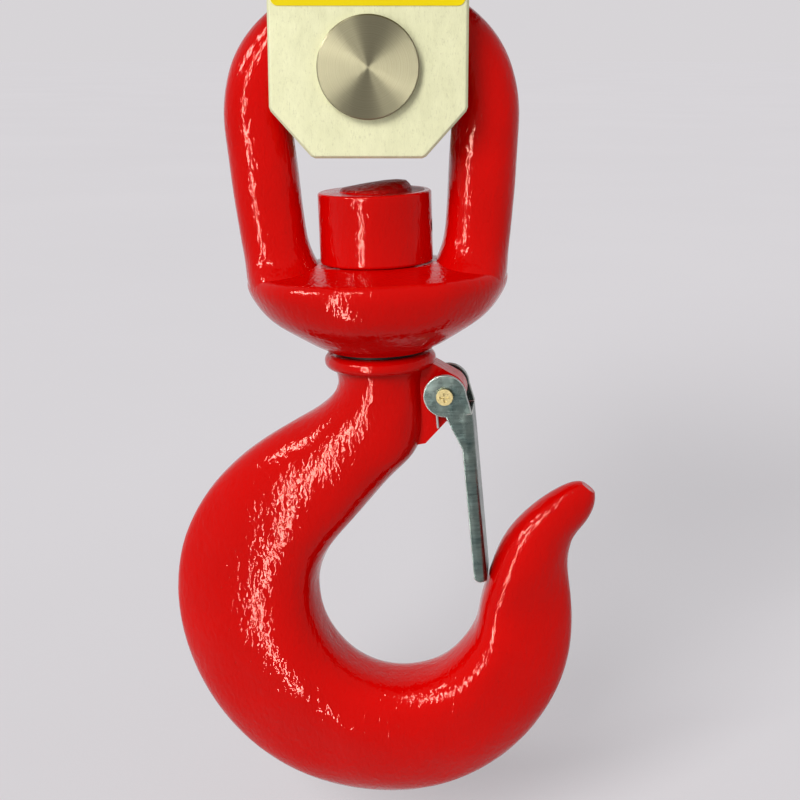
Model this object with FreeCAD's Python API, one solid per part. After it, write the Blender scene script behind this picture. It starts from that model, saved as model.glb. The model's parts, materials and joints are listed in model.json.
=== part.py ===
"""Crane scale: a bow shackle carries a weighing bar, and a swivel hook hangs from the bar on a cross pin.

Millimetres, +Z up, X to the right of the display, the display faces -Y. The origin is the inside of the
shackle's crown, where the crane's hook bears. Everything hangs as it does when the scale is lifted.
"""
import FreeCAD, Part
import math
import os

V = FreeCAD.Vector
X, Y, Z = V(1, 0, 0), V(0, 1, 0), V(0, 0, 1)

# ---- clearances -------------------------------------------------------------------------------------------
RUNNING = 0.05        # radial, a shaft in its hole
LOOSE = 0.3           # between pieces that move past each other
SNUG = 0.15           # between pieces that are fitted and stay

# ---- bow shackle ------------------------------------------------------------------------------------------
BOW_STOCK = 32.0
BOW_INSIDE_WIDTH = 83.0
BOW_INSIDE_LENGTH = 119.0     # crown to the top of the bolt
JAW = 51.5                    # between the eyes
EYE_DIAMETER = 76.0
EYE_EDGE = 3.0
BOLT_DIAMETER = 35.0
BOLT_HOLE_CLEARANCE = 0.5
BOLT_HEAD_FLATS = 55.0
BOLT_HEAD_LENGTH = 21.0
BOLT_THREAD_DIAMETER = 32.0
BOLT_TAIL = 12.0
SHACKLE_NUT_LENGTH = 26.0
COTTER_DIAMETER = 5.0

# ---- weighing bar -----------------------------------------------------------------------------------------
BAR_WIDTH = 81.3              # X, at the fork
BAR_DEPTH = 62.0              # Y
LUG_WIDTH = 47.0              # X, at the top, between the shackle's eyes
LUG_ABOVE_BOLT = 35.0
LUG_CHAMFER = 16.0
LUG_ROOT = 8.0
FORK_BELOW_PIN = 36.6
FORK_CHAMFER_ACROSS = 17.6
FORK_CHAMFER_UP = 19.7
FORK_SLOT = 34.0
SLOT_ABOVE_PIN = 46.0
EDGE_BREAK = 1.0
GAUGE_POCKET_DIAMETER = 44.0
GAUGE_WEB = 26.0
GAUGE_COVER_DIAMETER = 58.0
GAUGE_COVER_THICK = 3.0
GAUGE_SIZE = (12.0, 0.3, 8.0)
LABEL = (78.2, 0.4, 40.0)
LABEL_ABOVE_PIN = 24.0
LABEL_CORNER = 3.0
GAUGE_SCREW_DIAMETER = 3.0
GAUGE_SCREW_LENGTH = 8.0
GAUGE_SCREW_ANGLES = (45, 135, 225, 315)
GLAND_DIAMETER = 7.0
GLAND_LENGTH = 5.0
CABLE_DIAMETER = 2.6
CABLE_BEND_SHARE = 5 / 12     # each bend's radius, of the space between the gland and the connector
CABLE_RUN = 20.0
CABLE_OUT = 1.0               # straight stretch before the bend

# ---- lower pin --------------------------------------------------------------------------------------------
PIN_DIAMETER = 33.0
PIN_HEAD_DIAMETER = 41.7
PIN_HEAD_LENGTH = 4.0
PIN_HEAD_EDGE = 0.6
PIN_TAIL = 10.0
KEEPER = (52.0, 4.6, 18.0)
KEEPER_BITE = 5.0
KEEPER_BOLT_SPACING = 38.0
KEEPER_BOLT_DIAMETER = 8.0
KEEPER_BOLT_GRIP = 10.0
KEEPER_BOLT_HEAD = (13.0, 5.3)        # across flats, length
KEEPER_CORNER = 3.0

# ---- housing ----------------------------------------------------------------------------------------------
HOUSING_WIDTH = 230.0
HOUSING_HEIGHT = 190.0
HOUSING_DEPTH = 150.0
HOUSING_CORNER = 26.0
HOUSING_EDGE = 9.0
HOUSING_BELOW_BOLT = 52.0
PIN_BELOW_HOUSING = 74.0
WALL = 4.0
SHELL_GASKET = 1.5
RIM_SCREW_DIAMETER = 5.0
RIM_BOSS_DIAMETER = 12.0
RIM_BOSS_INSET = 13.0
RIM_SIDE_INSET = 9.0          # of the two screws midway up the sides
GROMMET_GAP = 4.0             # between the bar and the edge of the opening it passes through
GROMMET_LIP = 5.0
GROMMET_LIP_THICK = 3.0
SHOULDER_BELOW_TOP = 24.0
RIM_SCREW_GRIP = 16.0
RIM_HEAD_DIAMETER = 8.5
RIM_HEAD_LENGTH = 5.0
RIM_HEAD_SUNK = 12.0          # seat of the screws' heads below the back
POST_SCREW_LENGTH = 14.0
POST_SCREW_HEAD = (7.0, 2.6)
RIM_SCREW_KEY = 4.0

# ---- bracket that ties the housing to the bar -------------------------------------------------------------
BRACKET_PLATE = 3.0
BRACKET_HEIGHT = 60.0
BRACKET_DEPTH = 40.0
BRACKET_REACH = 38.0
BRACKET_BOLT_DIAMETER = 6.0
BRACKET_BOLT_SPACING = 30.0
POST_DIAMETER = 10.0
POST_SCREW_DIAMETER = 4.0
BRACKET_BOLT_GRIP = 12.0
BRACKET_BOLT_HEAD = (10.0, 6.0)
BRACKET_BOLT_KEY = 5.0

# ---- display and keys -------------------------------------------------------------------------------------
WINDOW_WIDTH = 122.0
WINDOW_HEIGHT = 44.0
WINDOW_LEDGE = 3.0
WINDOW_THICK = 2.2
WINDOW_SEAL = 0.6
WINDOW_ABOVE_MIDDLE = 28.0
BEZEL_BAND = 10.0
BEZEL_THICK = 2.5
DIGIT_COUNT = 5
DIGIT_HEIGHT = 30.0
DIGIT_PITCH = 22.0
DIGIT_SEGMENT = 3.0
DIGIT_MODULE = (114.0, 7.0, 40.0)
BOARD = (124.0, 1.6, 124.0)
BOARD_SPACE = 8.6             # between the front wall and the board
STANDOFF_FLATS = 6.0
KEY_DIAMETER = 18.0
KEY_FLANGE_DIAMETER = 22.0
KEY_FLANGE_THICK = 1.5
KEY_PROUD = 3.0
KEY_STEM_DIAMETER = 5.0
KEY_TRAVEL = 1.2
KEY_PITCH = 29.0
KEY_BELOW_MIDDLE = 42.0
KEY_SWITCH = (6.0, 3.5, 6.0)
LIGHT_DIAMETER = 4.0
LIGHT_BELOW_MIDDLE = 12.0
LIGHT_PITCH = 22.0
LAMP_THICK = 1.0
BEZEL_SCREW_DIAMETER = 2.5
STANDOFF_THREAD = 2.5
STANDOFF_INSET = (5.0, 4.0)   # from the board's side and top
BOARD_SCREW_HEAD = (5.0, 1.8)
BEZEL_SCREW_HEAD = (4.2, 1.2)
BEZEL_CORNER = 8.0
BEZEL_EDGE = 1.0
WINDOW_CORNER = 4.0
WINDOW_POCKET_CORNER = 5.0
KEY_EDGE = 1.4
SWITCH_BUTTON = (3.4, 1.0)
LIGHT_PROUD = 0.6
LIGHT_EDGE = 0.5
LIGHT_FLANGE = (1.5, 1.2)     # wider than the light by, and thickness
DIGIT_PROUD = 0.4
DIGIT_WIDTH_SHARE = 0.46      # of its height
CONNECTOR = (9.0, 7.0, 7.0)   # width, rise from the board, height
# flat parts on the board's back: width, rise, height, and place from the board's middle
FLAT_PARTS = (
    (30.0, 4.0, 24.0, -30.0, 22.0),
    (14.0, 2.0, 14.0, 14.0, 30.0),
    (10.0, 1.8, 6.0, 36.0, 22.0),
)
# round parts: diameter, rise, and place
ROUND_PARTS = (
    (12.0, 7.0, -34.0, -28.0),
    (6.3, 11.0, 2.0, -30.0),
    (6.3, 11.0, 12.0, -30.0),
    (6.3, 11.0, 22.0, -30.0),
)
LAMP_WIDTH = 3.0

# ---- battery ----------------------------------------------------------------------------------------------
BATTERY_WIDTH = 100.0
BATTERY_HEIGHT = 72.0
BATTERY_CLEAR = 3.5           # between its tray and the bar, for the heads of the gauge cover's screws
BATTERY_PLAY = 1.5
TRAY_WALL = 1.5
TRAY_FLANGE = 6.0
COVER_BORDER = 22.0           # beyond the tray, at the sides where the thumbscrews are
COVER_LAP = 6.0
COVER_THICK = 3.0
COVER_SEAL = 1.0
THUMBSCREW_DIAMETER = 5.0
THUMB_KNOB_DIAMETER = 15.0
THUMB_KNOB_LENGTH = 8.0
THUMB_FLUTES = 10
THUMB_BOSS_LENGTH = 12.0
TRAY_SCREW_DIAMETER = 2.5
TRAY_FLANGE_THICK = 1.5
TERMINAL_DIAMETER = 6.0
TERMINAL_BEHIND = 3.0         # how far it stands out behind the tray
TERMINAL_FLANGE = (3.0, 1.0)  # wider than the contact by, and thickness
TRAY_SCREW_HEAD = (4.5, 1.6)
TRAY_SCREW_INSET = 8.0
TRAY_CORNER = 4.0
SLEEVE_DIP = 0.8              # of the sleeve between the cells
COVER_CORNER = 8.0
COVER_EDGE = 1.2
COVER_RIB = 2.2
SEAL_INSET = 1.0
FLUTE_DIAMETER = 3.0
FLUTE_START = 1.5
FLUTE_OUT = 0.6

# ---- charging socket --------------------------------------------------------------------------------------
SOCKET_DIAMETER = 12.0
SOCKET_FLANGE_DIAMETER = 17.0
SOCKET_FLANGE_THICK = 2.0
SOCKET_BORE = 8.0
SOCKET_LENGTH = 20.0
SOCKET_FROM_SPLIT = 40.0
SOCKET_BELOW_MIDDLE = 60.0
CAP_THICK = 3.0
CAP_HINGE_OFFSET = 14.0
CAP_KNUCKLE_RADIUS = 2.6
CAP_KNUCKLE_LENGTH = 6.0
CAP_PIN_RADIUS = 1.2
SOCKET_NUT_LENGTH = 4.0
SOCKET_PIN = (2.0, 4.0)       # diameter, and depth below the mouth
CAP_PLUG = (2.4, 2.0)         # narrower than the bore by, and length
CAP_EAR = 2.0
CAP_FOOT = (1.2, 5.0)         # thickness, and reach past the knuckle

# ---- swivel link (the forged bail over the pin and its round base) -----------------------------------------
LINK_HALF_WIDTH = 63.4        # outside of the legs, where the arch begins
LINK_LEG = 28.6               # thickness of a leg, seen from the front
LINK_ARCH_RISE = 55.0         # outside of the crown above the start of the arch
LINK_CROWN = 21.0
LINK_DEPTH = 27.0
LINK_CLOSING = 5.8            # how far each leg closes in, from the start of the arch to the floor
FLOOR_DROP = 67.0             # floor of the base below the start of the arch
BASE_DEPTH_RATIO = 0.80
BASE_BOTTOM_RADIUS = 24.3
BASE_HEIGHT = 38.1
# base, going down from the floor: depth, and half width as a share of the widest
BASE_FLOOR = ((0.0, 0.52), (3.6, 0.955))
BASE_SIDE = (
    (3.6, 0.955), (4.5, 0.980), (6.2, 0.996), (9.5, 0.996), (14.0, 0.962), (19.5, 0.897), (24.5, 0.808),
    (28.5, 0.705), (32.5, 0.592), (35.8, 0.493),
)
# foot of a leg, from the floor: height, growth inwards, growth in depth, and outer edge moved in
LEG_FOOT = (
    (-15.0, 5.0, 22.0, 6.0), (-8.0, 5.0, 22.0, 0.9), (-2.0, 4.4, 18.0, 0.0), (3.0, 2.4, 10.0, 0.0),
    (9.0, 0.8, 4.0, 0.0),
)

# ---- swivel hook ------------------------------------------------------------------------------------------
SHANK_DIAMETER = 34.0
SHANK_PROUD = 4.6
NUT_DIAMETER = 49.8
NUT_HEIGHT = 31.0
NUT_EDGE = 1.2
LOCK_PIN_DIAMETER = 6.0
WASHER_THICK = 1.8
WASHER_RING = 3.0             # width of the ring round the shank
COLLAR_DIAMETER = 50.0
COLLAR_HEIGHT = 6.8
COLLAR_EDGE = 3.2
NECK_DIAMETER = 39.0
BOWL_DIAMETER = 76.4
BOWL_OFFSET = 4.2             # of the bowl's centre to the right of the swivel axis
BOWL_BELOW_COLLAR = 115.4     # bowl's centre below the top of the collar
HOOK_THICK = 52.0
HOOK_SQUARENESS = 2.5
HOOK_THINNING = 0.38          # the bowl is thick inside and thin outside
SWIVEL_TURN_DEG = -6.0        # the way the hook happens to face
HANG_DEG = 1.85               # lean of the link and hook that brings their weight below the pin
# bowl sections: angle round the bowl's centre, inner and outer distance as shares of the bowl's radius,
# and thickness as a share of the hook's thickness
BOWL_SECTIONS = (
    (168, 0.995, 2.725, 0.99), (180, 0.990, 2.760, 1.00), (200, 1.000, 2.795, 1.01),
    (220, 1.020, 2.825, 1.02), (240, 1.055, 2.815, 1.03), (260, 1.075, 2.740, 1.03),
    (280, 1.072, 2.650, 1.02), (300, 1.060, 2.515, 0.99), (320, 1.030, 2.365, 0.94),
    (340, 1.022, 2.225, 0.88), (358, 1.030, 2.115, 0.81),
)
# hammered end of the shank: rise and sideways drift as shares of how far it stands proud and of the shank's
# diameter, with the radius share between them
PEENED_END = ((-0.2, 0.97, 0.0), (0.3, 0.9, 0.03), (0.65, 0.6, 0.15), (0.9, 0.33, 0.25), (1.0, 0.1, 0.28))
# start of the neck inside and under the collar: depth below the collar's top, and diameter share
NECK_START = ((COLLAR_HEIGHT * 0.5, 1.13), (COLLAR_HEIGHT + 1.0, 1.04), (COLLAR_HEIGHT + 6.0, 0.99))
# back of the hook, between the neck and the bowl: inner and outer point, right of the swivel axis and
# above the bowl's centre, and thickness share
BACK_SECTIONS = (
    ((19.0, 86.0), (-27.0, 91.0), 0.762),
    ((15.5, 70.5), (-38.0, 84.3), 0.830),
    ((6.5, 60.5), (-50.5, 77.2), 0.887),
    ((-4.5, 48.5), (-64.5, 67.8), 0.935),
    ((-15.5, 36.0), (-77.0, 56.5), 0.970),
    ((-25.5, 24.2), (-85.5, 46.0), 1.000),
)
# point of the hook: inner and outer point from the bowl's centre, and thickness share
POINT_SECTIONS = (
    ((43.5, 11.8), (79.3, 12.5), 0.819),
    ((47.2, 21.5), (79.8, 20.0), 0.722),
    ((52.0, 30.0), (81.6, 26.5), 0.609),
    ((58.8, 38.0), (84.6, 31.2), 0.503),
    ((66.2, 44.6), (87.6, 35.0), 0.408),
    ((73.4, 49.6), (90.2, 39.6), 0.323),
    ((80.0, 52.9), (91.6, 44.2), 0.231),
    ((85.6, 53.6), (91.6, 48.6), 0.129),
)

# ---- safety latch -----------------------------------------------------------------------------------------
PIVOT_RIGHT = 29.6            # of the swivel axis
PIVOT_BELOW_COLLAR = 18.2
LUG_RADIUS = 9.0
LUG_THICK = 13.0
CHEEK_RADIUS = 9.5
LATCH_WIDTH = 26.0
LATCH_SHEET = 2.0
LATCH_BEND = 3.6
LATCH_LENGTH = 88.5
LATCH_LEG = 5.8               # height of the channel's sides below the flare
LATCH_FLARE = 25.0            # from the pivot to where the sides are narrow
LATCH_TOP = 9.0               # from the pivot to the upper edge of the web
LATCH_LEAN_DEG = 3.76
WEB_X = 11.4                  # outer face of the latch's web, right of its pivot
LATCH_TOE = 3.0
SCREW_DIAMETER = 6.0
SCREW_HEAD_DIAMETER = 7.4
SCREW_HEAD_LENGTH = 1.8
LATCH_NUT_FLATS = 10.0
LATCH_NUT_LENGTH = 5.0
SPRING_WIRE = 1.2
SPRING_RADIUS = 4.6
SPRING_TURNS = 1.5
SPRING_LEG = 6.5              # short enough for the web to swing past
SPRING_STEPS = 12             # points in each turn

# ---- places that follow -----------------------------------------------------------------------------------
BOLT_Z = -(BOW_INSIDE_LENGTH + BOLT_DIAMETER / 2)
TOP_Z = BOLT_Z - HOUSING_BELOW_BOLT
MIDDLE_Z = TOP_Z - HOUSING_HEIGHT / 2
BOTTOM_Z = TOP_Z - HOUSING_HEIGHT
PIN_Z = BOTTOM_Z - PIN_BELOW_HOUSING
SHOULDER_Z = TOP_Z - SHOULDER_BELOW_TOP
FRONT = -HOUSING_DEPTH / 2
FRONT_INSIDE = FRONT + WALL
BACK = HOUSING_DEPTH / 2
BACK_INSIDE = BACK - WALL
BAR_FRONT = -BAR_DEPTH / 2
BAR_BACK = BAR_DEPTH / 2
WINDOW_Z = MIDDLE_Z + WINDOW_ABOVE_MIDDLE
BOARD_FRONT = FRONT_INSIDE + BOARD_SPACE
BOARD_BACK = BOARD_FRONT + BOARD[1]
KEY_Z = MIDDLE_Z - KEY_BELOW_MIDDLE
SOCKET_AT = V(HOUSING_WIDTH / 2, SOCKET_FROM_SPLIT, MIDDLE_Z - SOCKET_BELOW_MIDDLE)
# link and hook are drawn upright with the pin's axis at the origin
ARCH_Z = -(LINK_ARCH_RISE - LINK_CROWN - PIN_DIAMETER / 2 - LOOSE)
FLOOR_Z = ARCH_Z - FLOOR_DROP
BASE_Z = FLOOR_Z - BASE_HEIGHT
NUT_Z = FLOOR_Z + LOOSE
COLLAR_Z = BASE_Z - WASHER_THICK - 2 * SNUG
BOWL_CENTRE = V(BOWL_OFFSET, 0, COLLAR_Z - BOWL_BELOW_COLLAR)
BOWL_RADIUS = BOWL_DIAMETER / 2
PIVOT = V(PIVOT_RIGHT, 0, COLLAR_Z - PIVOT_BELOW_COLLAR)
BOW_OUTSIDE = JAW / 2 + BOW_STOCK
NUT_SEAT = BOW_OUTSIDE + SNUG
COTTER_X = NUT_SEAT + SHACKLE_NUT_LENGTH + SNUG + COTTER_DIAMETER / 2
KEEPER_BOLT_Z = PIN_Z + PIN_DIAMETER / 2 - KEEPER_BITE + SNUG + KEEPER[2] / 2
CABLE_START_Y = BAR_FRONT + GAUGE_COVER_THICK
CABLE_TURN_Y = BAR_FRONT - GLAND_LENGTH - CABLE_OUT
CONNECTOR_Y = BOARD_BACK + CONNECTOR[1]
CABLE_BEND = CABLE_BEND_SHARE * (CABLE_TURN_Y - CONNECTOR_Y)
CABLE_END = V(2 * CABLE_BEND + CABLE_RUN, CONNECTOR_Y, MIDDLE_Z)
RIM_SEAT_Y = BACK - RIM_HEAD_SUNK
BATTERY_DEPTH = BACK_INSIDE - 2 * BATTERY_PLAY - TRAY_WALL - BATTERY_CLEAR - BAR_BACK
BATTERY = (BATTERY_WIDTH, BATTERY_DEPTH, BATTERY_HEIGHT)
TRAY_DEPTH = BATTERY_DEPTH + 2 * BATTERY_PLAY
CAP_X = SOCKET_AT.x + SOCKET_FLANGE_THICK + LOOSE
CAP_AXIS = V(CAP_X + CAP_THICK / 2, SOCKET_AT.y + CAP_HINGE_OFFSET, SOCKET_AT.z)


# ---- drawing helpers --------------------------------------------------------------------------------------
def block(x, y, z):
    """Box between a low and a high value along each axis."""
    return Part.makeBox(x[1] - x[0], y[1] - y[0], z[1] - z[0], V(x[0], y[0], z[0]))


def centred(x_size, y, z_size, at=V(0, 0, 0)):
    """Box centred on a point in X and Z, between two values of Y."""
    return block((at.x - x_size / 2, at.x + x_size / 2), y, (at.z - z_size / 2, at.z + z_size / 2))


def edges_along(shape, direction):
    """Straight edges of a shape that run along a direction."""
    straight = [e for e in shape.Edges if isinstance(e.Curve, Part.Line)]
    return [e for e in straight if abs(e.tangentAt(e.FirstParameter).dot(direction)) > 0.999]


def slab(x_size, y, z_size, corner, at=V(0, 0, 0)):
    """Plate across the Y axis with four rounded corners."""
    plate = centred(x_size, y, z_size, at)
    return plate.makeFillet(corner, edges_along(plate, Y))


def rod(diameter, start, direction, length):
    return Part.makeCylinder(diameter / 2, length, start, direction)


def hexagon(flats, start, direction, length, chamfer=0.0):
    """Hexagonal prism, with its corners turned off by a chamfer at both ends."""
    radius = flats / math.sqrt(3)
    side = Z if abs(direction.z) < 0.9 else X
    other = direction.cross(side)
    turns = [i * math.pi / 3 for i in range(7)]
    corners = [start + (side * math.cos(turn) + other * math.sin(turn)) * radius for turn in turns]
    prism = Part.Face(Part.makePolygon(corners)).extrude(direction * length)
    if chamfer:
        turned = rod(2 * radius, start, direction, length)
        prism = prism.common(turned.makeChamfer(chamfer, turned.Edges[:1] + turned.Edges[2:]))
    return prism


def outline(points, y):
    """Plate between two values of Y whose outline is a closed polygon of (x, z) points."""
    corners = [V(x, y[0], z) for x, z in points]
    return Part.Face(Part.makePolygon(corners + corners[:1])).extrude(V(0, y[1] - y[0], 0))


def group(shapes):
    return Part.makeCompound(shapes)


def fused(shapes):
    first, *rest = shapes
    return first.multiFuse(rest).removeSplitter() if rest else first


def mirrored_x(shape):
    return shape.mirror(V(0, 0, 0), X)


def screw(diameter, head_diameter, head_length, seat, direction, length, socket=0.0):
    """Screw whose head's underside is at seat and whose shank runs along direction."""
    head = rod(head_diameter, seat - direction * head_length, direction, head_length)
    shape = head.fuse(rod(diameter, seat, direction, length))
    if socket:
        shape = shape.cut(hexagon(socket, seat - direction * head_length, direction, head_length * 0.6))
    return shape


def signed_power(value, power):
    return math.copysign(abs(value) ** power, value)


def ring_curve(centre, reach, across, squareness, thinning=0.0):
    """Smooth closed curve, between an ellipse and a rounded rectangle.

    It spans centre - reach to centre + reach, and across to each side. Thinning narrows the side at
    centre - reach and leaves the other side as wide as across.
    """
    points = []
    for step in range(20):
        turn = 2 * math.pi * step / 20
        along = signed_power(math.cos(turn), 2 / squareness)
        out = signed_power(math.sin(turn), 2 / squareness)
        points.append(centre + reach * along + across * out * (1 + thinning * along) / (1 + thinning))
    curve = Part.BSplineCurve()
    curve.interpolate(Points=points, PeriodicFlag=True)
    return Part.Wire(curve.toShape())


def bar_section(inner, outer, thick, squareness=2.2, thinning=0.0):
    """Section of a bent forging, from its inner edge to its outer edge."""
    return ring_curve((inner + outer) * 0.5, (inner - outer) * 0.5, V(0, thick / 2, 0), squareness, thinning)


# ---- bow shackle ------------------------------------------------------------------------------------------
def shackle_bow():
    """Round bar bent to a bow, running into a flat eye at each end."""
    bend = (BOW_INSIDE_WIDTH + BOW_STOCK) / 2
    centre_z = -BOW_INSIDE_WIDTH / 2
    eye_x = (JAW + BOW_STOCK) / 2
    join = V(eye_x, 0, BOLT_Z + EYE_DIAMETER * 0.42)
    drop = centre_z - join.z
    past = math.atan2(drop, eye_x) - math.acos(bend / math.hypot(drop, eye_x))
    right = V(bend * math.cos(past), 0, centre_z - bend * math.sin(past))
    left = V(-right.x, 0, right.z)
    path = Part.Wire([
        Part.LineSegment(V(-join.x, 0, join.z), left).toShape(),
        Part.Arc(left, V(0, 0, centre_z + bend), right).toShape(),
        Part.LineSegment(right, join).toShape(),
    ])
    start = V(-join.x, 0, join.z)
    profile = Part.Wire(Part.Circle(start, left - start, BOW_STOCK / 2).toShape())
    pieces = [path.makePipeShell([profile], True, True)]
    for side in (-1, 1):
        eye = rod(EYE_DIAMETER, V(side * JAW / 2, 0, BOLT_Z), X * side, BOW_STOCK)
        rims = [e for e in eye.Edges if isinstance(e.Curve, Part.Circle)]
        pieces.append(eye.makeFillet(EYE_EDGE, rims))
    bow = fused(pieces)
    hole = BOLT_DIAMETER + 2 * BOLT_HOLE_CLEARANCE
    span = JAW + 2 * BOW_STOCK
    jaw_z = (BOLT_Z - EYE_DIAMETER, BOLT_Z + EYE_DIAMETER / 2)
    bow = bow.cut(rod(hole, V(-span / 2 - 1, 0, BOLT_Z), X, span + 2))
    return bow.cut(block((-JAW / 2, JAW / 2), (-EYE_DIAMETER, EYE_DIAMETER), jaw_z))


def shackle_bolt():
    """Headed bolt across the eyes, reduced and drilled at its tail."""
    head_start = -(BOW_OUTSIDE + SNUG)
    head = hexagon(BOLT_HEAD_FLATS, V(head_start - BOLT_HEAD_LENGTH, 0, BOLT_Z), X, BOLT_HEAD_LENGTH, 3.0)
    shank = rod(BOLT_DIAMETER, V(head_start, 0, BOLT_Z), X, BOW_OUTSIDE - head_start)
    tail_length = COTTER_X + BOLT_TAIL / 2 - BOW_OUTSIDE
    tail = rod(BOLT_THREAD_DIAMETER, V(BOW_OUTSIDE, 0, BOLT_Z), X, tail_length)
    bolt = fused([head, shank, tail])
    hole = rod(COTTER_DIAMETER + 2 * SNUG, V(COTTER_X, -BOLT_DIAMETER, BOLT_Z), Y, 2 * BOLT_DIAMETER)
    return bolt.cut(hole)


def shackle_nut():
    nut = hexagon(BOLT_HEAD_FLATS, V(NUT_SEAT, 0, BOLT_Z), X, SHACKLE_NUT_LENGTH, 3.0)
    bore = rod(BOLT_THREAD_DIAMETER + 2 * RUNNING, V(NUT_SEAT - 1, 0, BOLT_Z), X, SHACKLE_NUT_LENGTH + 2)
    return nut.cut(bore)


def shackle_cotter():
    """Split pin through the bolt's tail: an eye in front, and two legs spread behind."""
    reach = BOLT_THREAD_DIAMETER / 2
    wire = COTTER_DIAMETER / 2
    start = V(COTTER_X, -reach - 2, BOLT_Z)
    shaft = rod(COTTER_DIAMETER, start, Y, 2 * reach + 5)
    eye = Part.makeTorus(COTTER_DIAMETER, wire * 0.7, start - Y * COTTER_DIAMETER, X)
    legs = []
    for side in (-1, 1):
        legs.append(rod(wire * 1.5, V(COTTER_X, reach + 2.5, BOLT_Z + side * wire * 0.4), Z * side, 11.0))
    return fused([shaft, eye] + legs)


# ---- weighing bar -----------------------------------------------------------------------------------------
def load_cell_bar():
    """Solid steel bar with the shackle's lug on top, a sealed gauge section and a fork for the pin."""
    low = PIN_Z - FORK_BELOW_PIN
    half = BAR_WIDTH / 2
    foot = half - FORK_CHAMFER_ACROSS
    flank = low + FORK_CHAMFER_UP
    body = outline(
        [(-foot, low), (foot, low), (half, flank), (half, SHOULDER_Z), (-half, SHOULDER_Z), (-half, flank)],
        (BAR_FRONT, BAR_BACK),
    )
    body = body.makeChamfer(EDGE_BREAK, body.Edges)
    top = BOLT_Z + LUG_ABOVE_BOLT
    lug = block((-LUG_WIDTH / 2, LUG_WIDTH / 2), (BAR_FRONT, BAR_BACK), (SHOULDER_Z - 2 * EDGE_BREAK, top))
    upper = [e for e in edges_along(lug, X) if e.BoundBox.ZMin > top - 1]
    lug = lug.makeChamfer(LUG_CHAMFER, upper)
    bar = body.fuse(lug)
    roots = [
        e for e in edges_along(bar, Y)
        if abs(e.BoundBox.ZMin - SHOULDER_Z) < 0.01 and abs(abs(e.BoundBox.XMin) - LUG_WIDTH / 2) < 0.01
    ]
    bar = bar.makeFillet(LUG_ROOT, roots)
    bar = bar.cut(rod(BOLT_DIAMETER + 2 * BOLT_HOLE_CLEARANCE, V(-BAR_WIDTH, 0, BOLT_Z), X, 2 * BAR_WIDTH))
    slot_z = (low - 1, PIN_Z + SLOT_ABOVE_PIN)
    bar = bar.cut(block((-BAR_WIDTH, BAR_WIDTH), (-FORK_SLOT / 2, FORK_SLOT / 2), slot_z))
    bar = bar.cut(rod(PIN_DIAMETER + 2 * RUNNING, V(0, -BAR_DEPTH, PIN_Z), Y, 2 * BAR_DEPTH))
    pocket = (BAR_DEPTH - GAUGE_WEB) / 2
    for side in (-1, 1):
        face = V(0, side * BAR_BACK, MIDDLE_Z)
        bar = bar.cut(rod(GAUGE_POCKET_DIAMETER, face, Y * -side, pocket))
        bar = bar.cut(rod(GAUGE_COVER_DIAMETER + 2 * SNUG, face, Y * -side, GAUGE_COVER_THICK))
        for angle in GAUGE_SCREW_ANGLES:
            at = face + gauge_screw_offset(angle)
            bar = bar.cut(rod(GAUGE_SCREW_DIAMETER + 2 * SNUG, at, Y * -side, GAUGE_SCREW_LENGTH + 1))
        for z in bracket_bolt_heights():
            side_face = V(side * half, 0, z)
            bar = bar.cut(rod(BRACKET_BOLT_DIAMETER + 2 * SNUG, side_face, X * -side, BRACKET_BOLT_GRIP + 1))
        bolt_at = V(side * KEEPER_BOLT_SPACING / 2, BAR_BACK, KEEPER_BOLT_Z)
        bar = bar.cut(rod(KEEPER_BOLT_DIAMETER + 2 * SNUG, bolt_at, Y * -1, KEEPER_BOLT_GRIP + 1))
    return bar


def gauge_screw_offset(angle_deg):
    """From the middle of the gauge pocket to a cover screw."""
    radius = (GAUGE_POCKET_DIAMETER + GAUGE_COVER_DIAMETER) / 4
    angle = math.radians(angle_deg)
    return V(radius * math.cos(angle), 0, radius * math.sin(angle))


def bracket_bolt_heights():
    return [MIDDLE_Z - BRACKET_BOLT_SPACING / 2, MIDDLE_Z + BRACKET_BOLT_SPACING / 2]


def strain_gauges():
    """Foil gauges on both faces of the web between the pockets, one pair to a face."""
    width, thick, height = GAUGE_SIZE
    foils = []
    for side in (-1, 1):
        face = side * GAUGE_WEB / 2
        y = (min(face, face + side * thick), max(face, face + side * thick))
        for x in (-width * 0.7, width * 0.7):
            foils.append(centred(width, y, height, V(x, 0, MIDDLE_Z)))
    return group(foils)


def gauge_covers():
    """Discs that seal the gauge pockets, flush with the bar's faces; the front one has the cable's hole."""
    covers = []
    for side in (-1, 1):
        face = V(0, side * BAR_BACK, MIDDLE_Z)
        cover = rod(GAUGE_COVER_DIAMETER, face, Y * -side, GAUGE_COVER_THICK)
        for angle in GAUGE_SCREW_ANGLES:
            at = face + gauge_screw_offset(angle)
            hole = rod(GAUGE_SCREW_DIAMETER + 2 * SNUG, at, Y * -side, GAUGE_COVER_THICK)
            cover = cover.cut(hole)
        if side < 0:
            cover = cover.cut(rod(GLAND_DIAMETER + 2 * SNUG, face, Y, GAUGE_COVER_THICK))
        covers.append(cover)
    return group(covers)


def gauge_cover_screws():
    screws = []
    for side in (-1, 1):
        for angle in GAUGE_SCREW_ANGLES:
            seat = V(0, side * (BAR_BACK + SNUG), MIDDLE_Z) + gauge_screw_offset(angle)
            screws.append(screw(GAUGE_SCREW_DIAMETER, 5.0, 1.2, seat, Y * -side, GAUGE_SCREW_LENGTH))
    return group(screws)


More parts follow.
